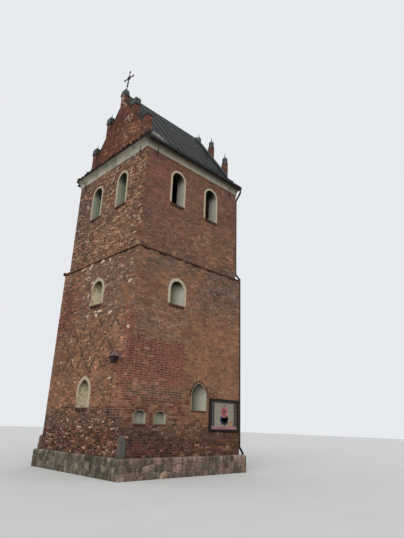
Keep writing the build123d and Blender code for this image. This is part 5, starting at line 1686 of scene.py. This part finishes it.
def make_floor():
    """Pale level floor under the tower."""
    mesh = bpy.data.meshes.new("floor")
    corners = [(x * FLOOR_HALF, y * FLOOR_HALF, 0) for x, y in ((-1, -1), (1, -1), (1, 1), (-1, 1))]
    mesh.from_pydata(corners, [], [(0, 1, 2, 3)])
    m = Shader("pale_floor", roughness=0.9, specular=0.1)
    seen = m.tree.nodes.new("ShaderNodeLightPath").outputs["Is Camera Ray"]
    pale = m.mix(m.noise(0.6, 5), (184, 184, 182), (192, 192, 190))
    mesh.materials.append(m.finish(m.mix(seen, (134, 130, 124), pale)))
    floor = bpy.data.objects.new("floor", mesh)
    bpy.context.scene.collection.objects.link(floor)


def lower_and_upper_bricks():
    """All brick faces of both stages and both gables, and the old mortar on them."""
    lower = brick_material("weathered_brick_lower", 0.5, 0.2, 0.32, 0.24)
    low_street = brick_material("weathered_brick_low_street", 0.5, 0.25, 0.4, 0.65, 0.26)
    upper = brick_material("weathered_brick_upper", 0.6, 0.2, 0.2, 0.6)
    street = brick_material("weathered_brick_street", 0.7, 0.25, 0.85, 0.85, 0.34)
    gable = brick_material("weathered_brick_gable", 0.4, 0.45, 0.3, 0.6, 0.30)
    low_span = ("lower", PLINTH_TOP, STRING_BOTTOM)
    high_span = ("upper", STRING_TOP, CORNICE_BOTTOM)
    for side in SIDES:
        low, high = (low_street, street) if side is FRONT else (lower, upper)
        wall_bricks(f"bricks_lower_{side.name}", side, *low_span, low, "lower_brick")
        wall_bricks(f"bricks_upper_{side.name}", side, *high_span, high, "upper_brick")
    corner_bricks("bricks_lower_corners", *low_span, lower, "lower_brick")
    corner_bricks("bricks_upper_corners", *high_span, upper, "upper_brick")
    gable_bricks(FRONT, FRONT_SHAFT, gable)
    gable_bricks(BACK, BACK_SHAFT, gable)
    string_bricks(lower)
    ledge_bricks(brick_material("ledge_brick", 0.0, 0.3))
    sill_bricks(gable)
    m = Shader("old_dabs", roughness=0.92, specular=0.1)
    flecks(m.finish(m.vary(m.tint(), m.noise(60, 5), 0.12), m.relief((90, 4, 0.6, 0.4, 0.003))))


# Pink mortar in the rebuilt areas of the lower walls, as limits along axes 0 to 2
PINK_MORTAR = (
    [(0, 2.35, 3.6), (1, -3.8, -3.3), (2, 2.3, 6.9)],
    [(0, 3.2, 3.6), (1, -3.7, -0.42), (2, 3.1, 5.7)],
    [(0, -3.6, -1.2), (1, 3.3, 3.8), (2, 1.8, 3.6)],
)


def mortar():
    """Mortar on the walls that carry the bricks."""
    lower = mortar_material("lime_mortar_lower", (140, 110, 90), (108, 84, 69), PINK_MORTAR)
    upper = mortar_material("lime_mortar_upper", (132, 106, 88), (92, 72, 60), sooty_inside=True)
    cad_material(lower, *(f"lower_wall_{side.name}" for side in SIDES))
    cad_material(upper, *(f"upper_wall_{side.name}" for side in SIDES), "gable_front", "gable_back")


# Plaster of the reveals and its stains: street side and other sides, each for the lower stage and the belfry
STREET_REVEALS = (((212, 200, 170), (172, 164, 136)), ((162, 165, 146), (134, 140, 121)))
OTHER_REVEALS = (((206, 203, 186), (182, 181, 163)), ((189, 186, 172), (162, 162, 146)))
# Direction of the painted light: reveals that face away from it are painted darker
LIT_FROM = (0.62, -0.62, 0.48)


def painted_arch_shade(m, side):
    """Painted shade in the heads of one side's openings: how dark the plaster is there."""
    masks = []
    for stage in ("lower", "upper"):
        for opening in OPENINGS[stage, side.name]:
            reach = 0.30 * (opening.crown - opening.bottom)
            head = m.span(m.axis(2), opening.crown - reach, opening.crown - 0.04)
            near = m.span(m.axis(2), opening.crown + 0.05, opening.crown + 0.10, 1.0, 0.0)
            masks.append(m.times(head, near, 0.95 if side is RIGHT and opening.kind == "round" else 0.80))
    return m.most(*masks)


def painted_shade_across(side, kind):
    """Depth of the painted shade across a niche, and its start and end in halves of the niche's width."""
    if kind == "segmental":
        return 0.66, -2.0, 3.0
    if side is not RIGHT:
        return 0.50, 0.95, -0.4
    return (0.78, -0.3, 1.4) if kind == "pointed" else (0.96, -0.8, 1.4)


def painted_niche_shade(m, side):
    """How dark the painted shade is across each niche of one side, and where the plaster crumbles."""
    shaded = []
    ragged = []
    along = m.times(m.axis(side.across), float(side.right[side.across]))
    for opening in OPENINGS["lower", side.name]:
        strong, start, end = painted_shade_across(side, opening.kind)
        low, high = sorted(opening.middle + k * opening.half for k in (start, end))
        ramp = m.span(along, low, high, *((strong, 0.0) if start < end else (0.0, strong)))
        near = m.box_mask([(2, opening.bottom - 0.1, opening.crown + 0.2)], 0.02)
        wide = m.span(m.math("ABSOLUTE", m.math("SUBTRACT", along, opening.middle)), 0.7, 0.75, 1.0, 0.0)
        shaded.append(m.times(ramp, near, wide))
        edge = opening.middle - opening.half * 1.1
        ragged.append(m.times(m.span(along, edge, opening.middle, 1.0, 0.0), near))
    return m.most(*shaded), m.most(*ragged)


def niche_plaster(side):
    """Plaster of one side's bands and reveals: grey-green, and dark inside with painted shade that is deepest
    under the arches.
    """
    m = Shader(f"surround_plaster_{side.name}", roughness=0.9, specular=0.12)
    band = m.mix(m.noise(2.2, 5), (188, 176, 154), (166, 152, 132))
    band = m.stain(band, m.noise(8, 6, 0.75), 0.52, 0.70, 0.7, (142, 112, 94))
    outward = 1 - side.across
    out = m.times(m.axis(outward), float(side.outward[outward]))
    face = m.span(m.axis(2), STRING_BOTTOM, STRING_TOP, side.face("lower"), side.face("upper"))
    depth = m.math("SUBTRACT", face, out)
    inside = m.span(depth, -0.004, 0.02)
    # Painted shade: reveals whose normal turns away from LIT_FROM are darkened
    lit = m.tree.nodes.new("ShaderNodeVectorMath")
    lit.operation = "DOT_PRODUCT"
    m.join(m.tree.nodes.new("ShaderNodeNewGeometry").outputs["Normal"], lit.inputs[0])
    lit.inputs[1].default_value = LIT_FROM
    painted_side_shade = m.times(m.span(lit.outputs["Value"], -0.55, 0.55, 1.0, 0.0), 0.55)
    shaded, ragged = painted_niche_shade(m, side)
    # Painted shade that deepens towards the back of the recess
    deep = m.times(m.span(depth, 0.05, 0.42), 0.12)
    painted_shade = m.math("ADD", m.most(painted_side_shade, painted_arch_shade(m, side), shaded), deep)
    painted_shade = m.math("MULTIPLY", painted_shade, inside, clamp=True)
    runs = m.noise(3.5, 5, 0.65, m.stretched(2.5, 2.5, 0.6))
    low, high = (m.mix(runs, *shades) for shades in (STREET_REVEALS if side is FRONT else OTHER_REVEALS))
    reveal = m.mix(m.span(m.axis(2), STRING_BOTTOM, STRING_TOP), low, high)
    if side is FRONT:
        crumbs = m.times(ragged, m.span(m.noise(7, 5, 0.75), 0.44, 0.60, 0.0, 0.75))
        reveal = m.mix(crumbs, reveal, (118, 92, 70))
    # Painted shade colour laid over the plaster inside the reveals
    colour = m.mix(painted_shade, m.mix(inside, band, reveal), (42, 45, 34))
    return m.finish(colour, m.relief((110, 5, 0.7, 0.4, 0.003), (9, 4, 0.6, 0.4, 0.012)))


def cove_plaster():
    """Pale plaster of the cove, with green runs, darker towards the street corner, and with painted shadow of
    the eaves towards its top.
    """
    m = Shader("cove_plaster", roughness=0.9, specular=0.15)
    colour = m.mix(m.noise(2.2, 5), (194, 184, 168), (168, 161, 145))
    runs = m.noise(1.0, 6, 0.7, m.stretched(2.4, 2.4, 0.9))
    eaves = m.span(m.math("ABSOLUTE", m.axis(0)), UPPER_X - 0.03, UPPER_X + 0.03)
    green = m.times(m.span(runs, 0.44, 0.60, 0.0, 0.7), m.span(eaves, 0, 1, 1.0, 0.4))
    colour = m.mix(green, colour, (116, 130, 104))
    colour = m.stain(colour, m.noise(5, 6, 0.75), 0.54, 0.72, 0.6, (96, 88, 76))
    corner = m.times(m.span(m.axis(0), 2.2, 3.5), m.span(m.axis(1), -3.7, -2.4, 1.0, 0.0), 0.45)
    colour = m.mix(corner, colour, (84, 80, 70))
    # Painted shadow of the eaves: darker towards the top of the cove, most of all on the eaves sides
    top = m.times(m.span(m.axis(2), WALL_HEAD - 0.38, WALL_HEAD, 0.0, 0.9), m.span(eaves, 0, 1, 0.35, 1.0))
    colour = m.mix(top, colour, (72, 70, 60))
    return m.finish(colour, m.relief((120, 5, 0.7, 0.35, 0.003), (9, 4, 0.6, 0.35, 0.012)))


def plaster():
    """Plaster of the cove, the bands and the niches."""
    cad_material(cove_plaster(), *(f"cornice_{side.name}" for side in SIDES))
    for side in SIDES:
        cad_material(niche_plaster(side), f"surrounds_{side.name}")


METAL_SCALE = 3.0


def metal_material(name, colour_a, colour_b, bloom, bloom_share, roughness, metallic):
    """Weathered sheet or iron with patches of bloom or rust."""
    m = Shader(name, roughness=roughness, metallic=metallic, specular=0.4)
    colour = m.mix(m.noise(METAL_SCALE, 5, 0.6, m.stretched(1, 1, 0.5)), colour_a, colour_b)
    colour = m.stain(colour, m.noise(METAL_SCALE * 2.2, 6, 0.7), 0.58, 0.74, bloom_share, bloom)
    relief = m.relief((METAL_SCALE * 1.5, 3, 0.6, 0.25, 0.02), (90, 4, 0.6, 0.15, 0.002))
    gloss = m.span(m.noise(METAL_SCALE * 3, 4), 0.3, 0.7, roughness - 0.12, min(roughness + 0.12, 1.0))
    return m.finish(colour, relief, gloss)


def roof_material():
    """Dark standing-seam sheet, each panel a little different, with pale runs."""
    m = Shader("roof_sheet", roughness=0.6, metallic=0.15, specular=0.25)
    panels = m.noise(1.0, 1, 0.5, m.stretched(0.0, 1.9, 0.0))
    colour = m.mix(panels, (13, 15, 15), (22, 25, 25))
    runs = m.noise(3.0, 5, 0.7, m.stretched(0.4, 3.2, 0.4))
    colour = m.stain(colour, runs, 0.52, 0.78, 0.4, (52, 57, 55))
    colour = m.stain(colour, m.noise(5, 6, 0.7), 0.56, 0.74, 0.6, (32, 38, 32))
    corner = m.box_mask([(0, 2.5, 3.45), (1, -3.5, -2.1), (2, 16.0, 17.1)], 0.25)
    streaks = m.span(m.noise(3.0, 5, 0.75, m.stretched(1, 4, 1)), 0.44, 0.58)
    colour = m.mix(m.times(corner, streaks, 0.95), colour, (150, 146, 136))
    return m.finish(colour, m.relief((2.4, 3, 0.6, 0.3, 0.03)), m.span(runs, 0.3, 0.7, 0.5, 0.7))


def wood_material(name, dark, light, direction):
    """Old timber with its grain along one axis."""
    m = Shader(name, roughness=0.75, specular=0.25)
    scales = [26.0, 26.0, 26.0]
    scales[direction] = 1.6
    grain = m.noise(1.0, 6, 0.65, m.stretched(*scales), 0.6)
    colour = m.mix(grain, dark, light)
    colour = m.vary(colour, m.noise(1.5, 3), 0.15)
    return m.finish(colour, m.bump(grain, 0.35, 0.003))


# Metals: name, two shades, bloom and its share, roughness, metallic and the CAD nodes that have it
METALS = (
    (
        "wrought_iron", (34, 32, 32), (52, 46, 42), (96, 62, 44), 0.5, 0.6, 0.35,
        ["gable_cross", "wall_anchors"],
    ),
    (
        "weathered_sheet", (42, 48, 46), (60, 66, 62), (96, 116, 100), 0.5, 0.55, 0.25,
        ["pinnacle_caps_front", "pinnacle_caps_back", "ridge_cap"],
    ),
    # gutter_sheet is near-black: the sheet's own dark colour together with painted shadow of the eaves; the
    # downpipes share it
    ("gutter_sheet", (26, 28, 28), (40, 42, 40), (62, 62, 56), 0.4, 0.5, 0.35, ["gutters", "downpipes"]),
    ("verge_sheet", (66, 76, 70), (86, 96, 88), (120, 136, 120), 0.5, 0.6, 0.15, ["verge_flashings"]),
    ("bracket_iron", (124, 98, 98), (88, 68, 68), (150, 124, 122), 0.5, 0.7, 0.1, ["lantern_bracket"]),
)
# Mortar, brick and stone without courses: name, two shades and CAD nodes
MASONRY = (
    # dark_ledge is near-black on the cornice ledge: its own dark colour together with painted shadow of the
    # ledge and eaves; the gable copings share it
    ("dark_ledge", (40, 32, 28), (62, 50, 43), ["cornice_ledge", "gable_copings"]),
    ("string_mortar", (140, 114, 94), (104, 80, 66), ["string_course"]),
    ("sill_mortar", (102, 68, 56), (64, 46, 39), ["window_sills"]),
    ("guard_stone", (96, 90, 80), (68, 64, 56), ["corner_stones"]),
    ("floor_paving", (112, 78, 64), (88, 64, 54), ["ground_floor"]),
    ("plinth_core", (98, 94, 82), (76, 74, 64), [f"plinth_{side.name}" for side in SIDES]),
)
# Timber: name, two shades, axis of the grain and CAD nodes
TIMBER = (
    ("old_timber", (52, 40, 32), (86, 70, 56), 1, ["belfry_floor", "roof_timbers"]),
    ("door_frame_wood", (48, 32, 24), (74, 52, 38), 2, ["door_frame", "door_leaf"]),
    ("picture_frame_wood", (22, 17, 16), (38, 29, 25), 1, ["picture_frame"]),
)


def cad_finishes():
    """Finishes of the CAD nodes that stay as they are, and the pieces made of the same materials."""
    finishes = {}
    for maker, rows in ((metal_material, METALS), (mortar_material, MASONRY), (wood_material, TIMBER)):
        for name, *look, nodes in rows:
            finishes[name] = maker(name, *look)
            cad_material(finishes[name], *nodes)
    roof = roof_material()
    cad_material(roof, "roof_slope_right", "roof_slope_left")
    lantern = Shader("lantern_iron", roughness=0.65, specular=0.3)
    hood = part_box("lantern_glass")[1].z
    shade = lantern.mix(lantern.span(lantern.axis(2), hood, hood + 0.03), (30, 20, 16), (104, 80, 76))
    cad_material(lantern.finish(lantern.vary(shade, lantern.noise(12, 4), 0.25)), "lantern_frame")
    panel = Shader("picture_ground", roughness=0.5, specular=0.3)
    cad_material(panel.finish(panel.vary(rgb(158, 150, 132), panel.noise(3, 4), 0.08)), "picture_panel")
    glass = Shader("lantern_glass", roughness=0.4, specular=0.3)
    glass.surface.inputs["Transmission Weight"].default_value = 0.35
    cad_material(glass.finish(glass.vary(rgb(38, 28, 23), glass.noise(8, 4), 0.15)), "lantern_glass")
    roof_seams(roof)
    door_boards(finishes["door_frame_wood"], finishes["wrought_iron"])
    plinth_stones()
    picture_print()


set_camera()
set_light()
make_floor()
mortar()
plaster()
cad_finishes()
lower_and_upper_bricks()
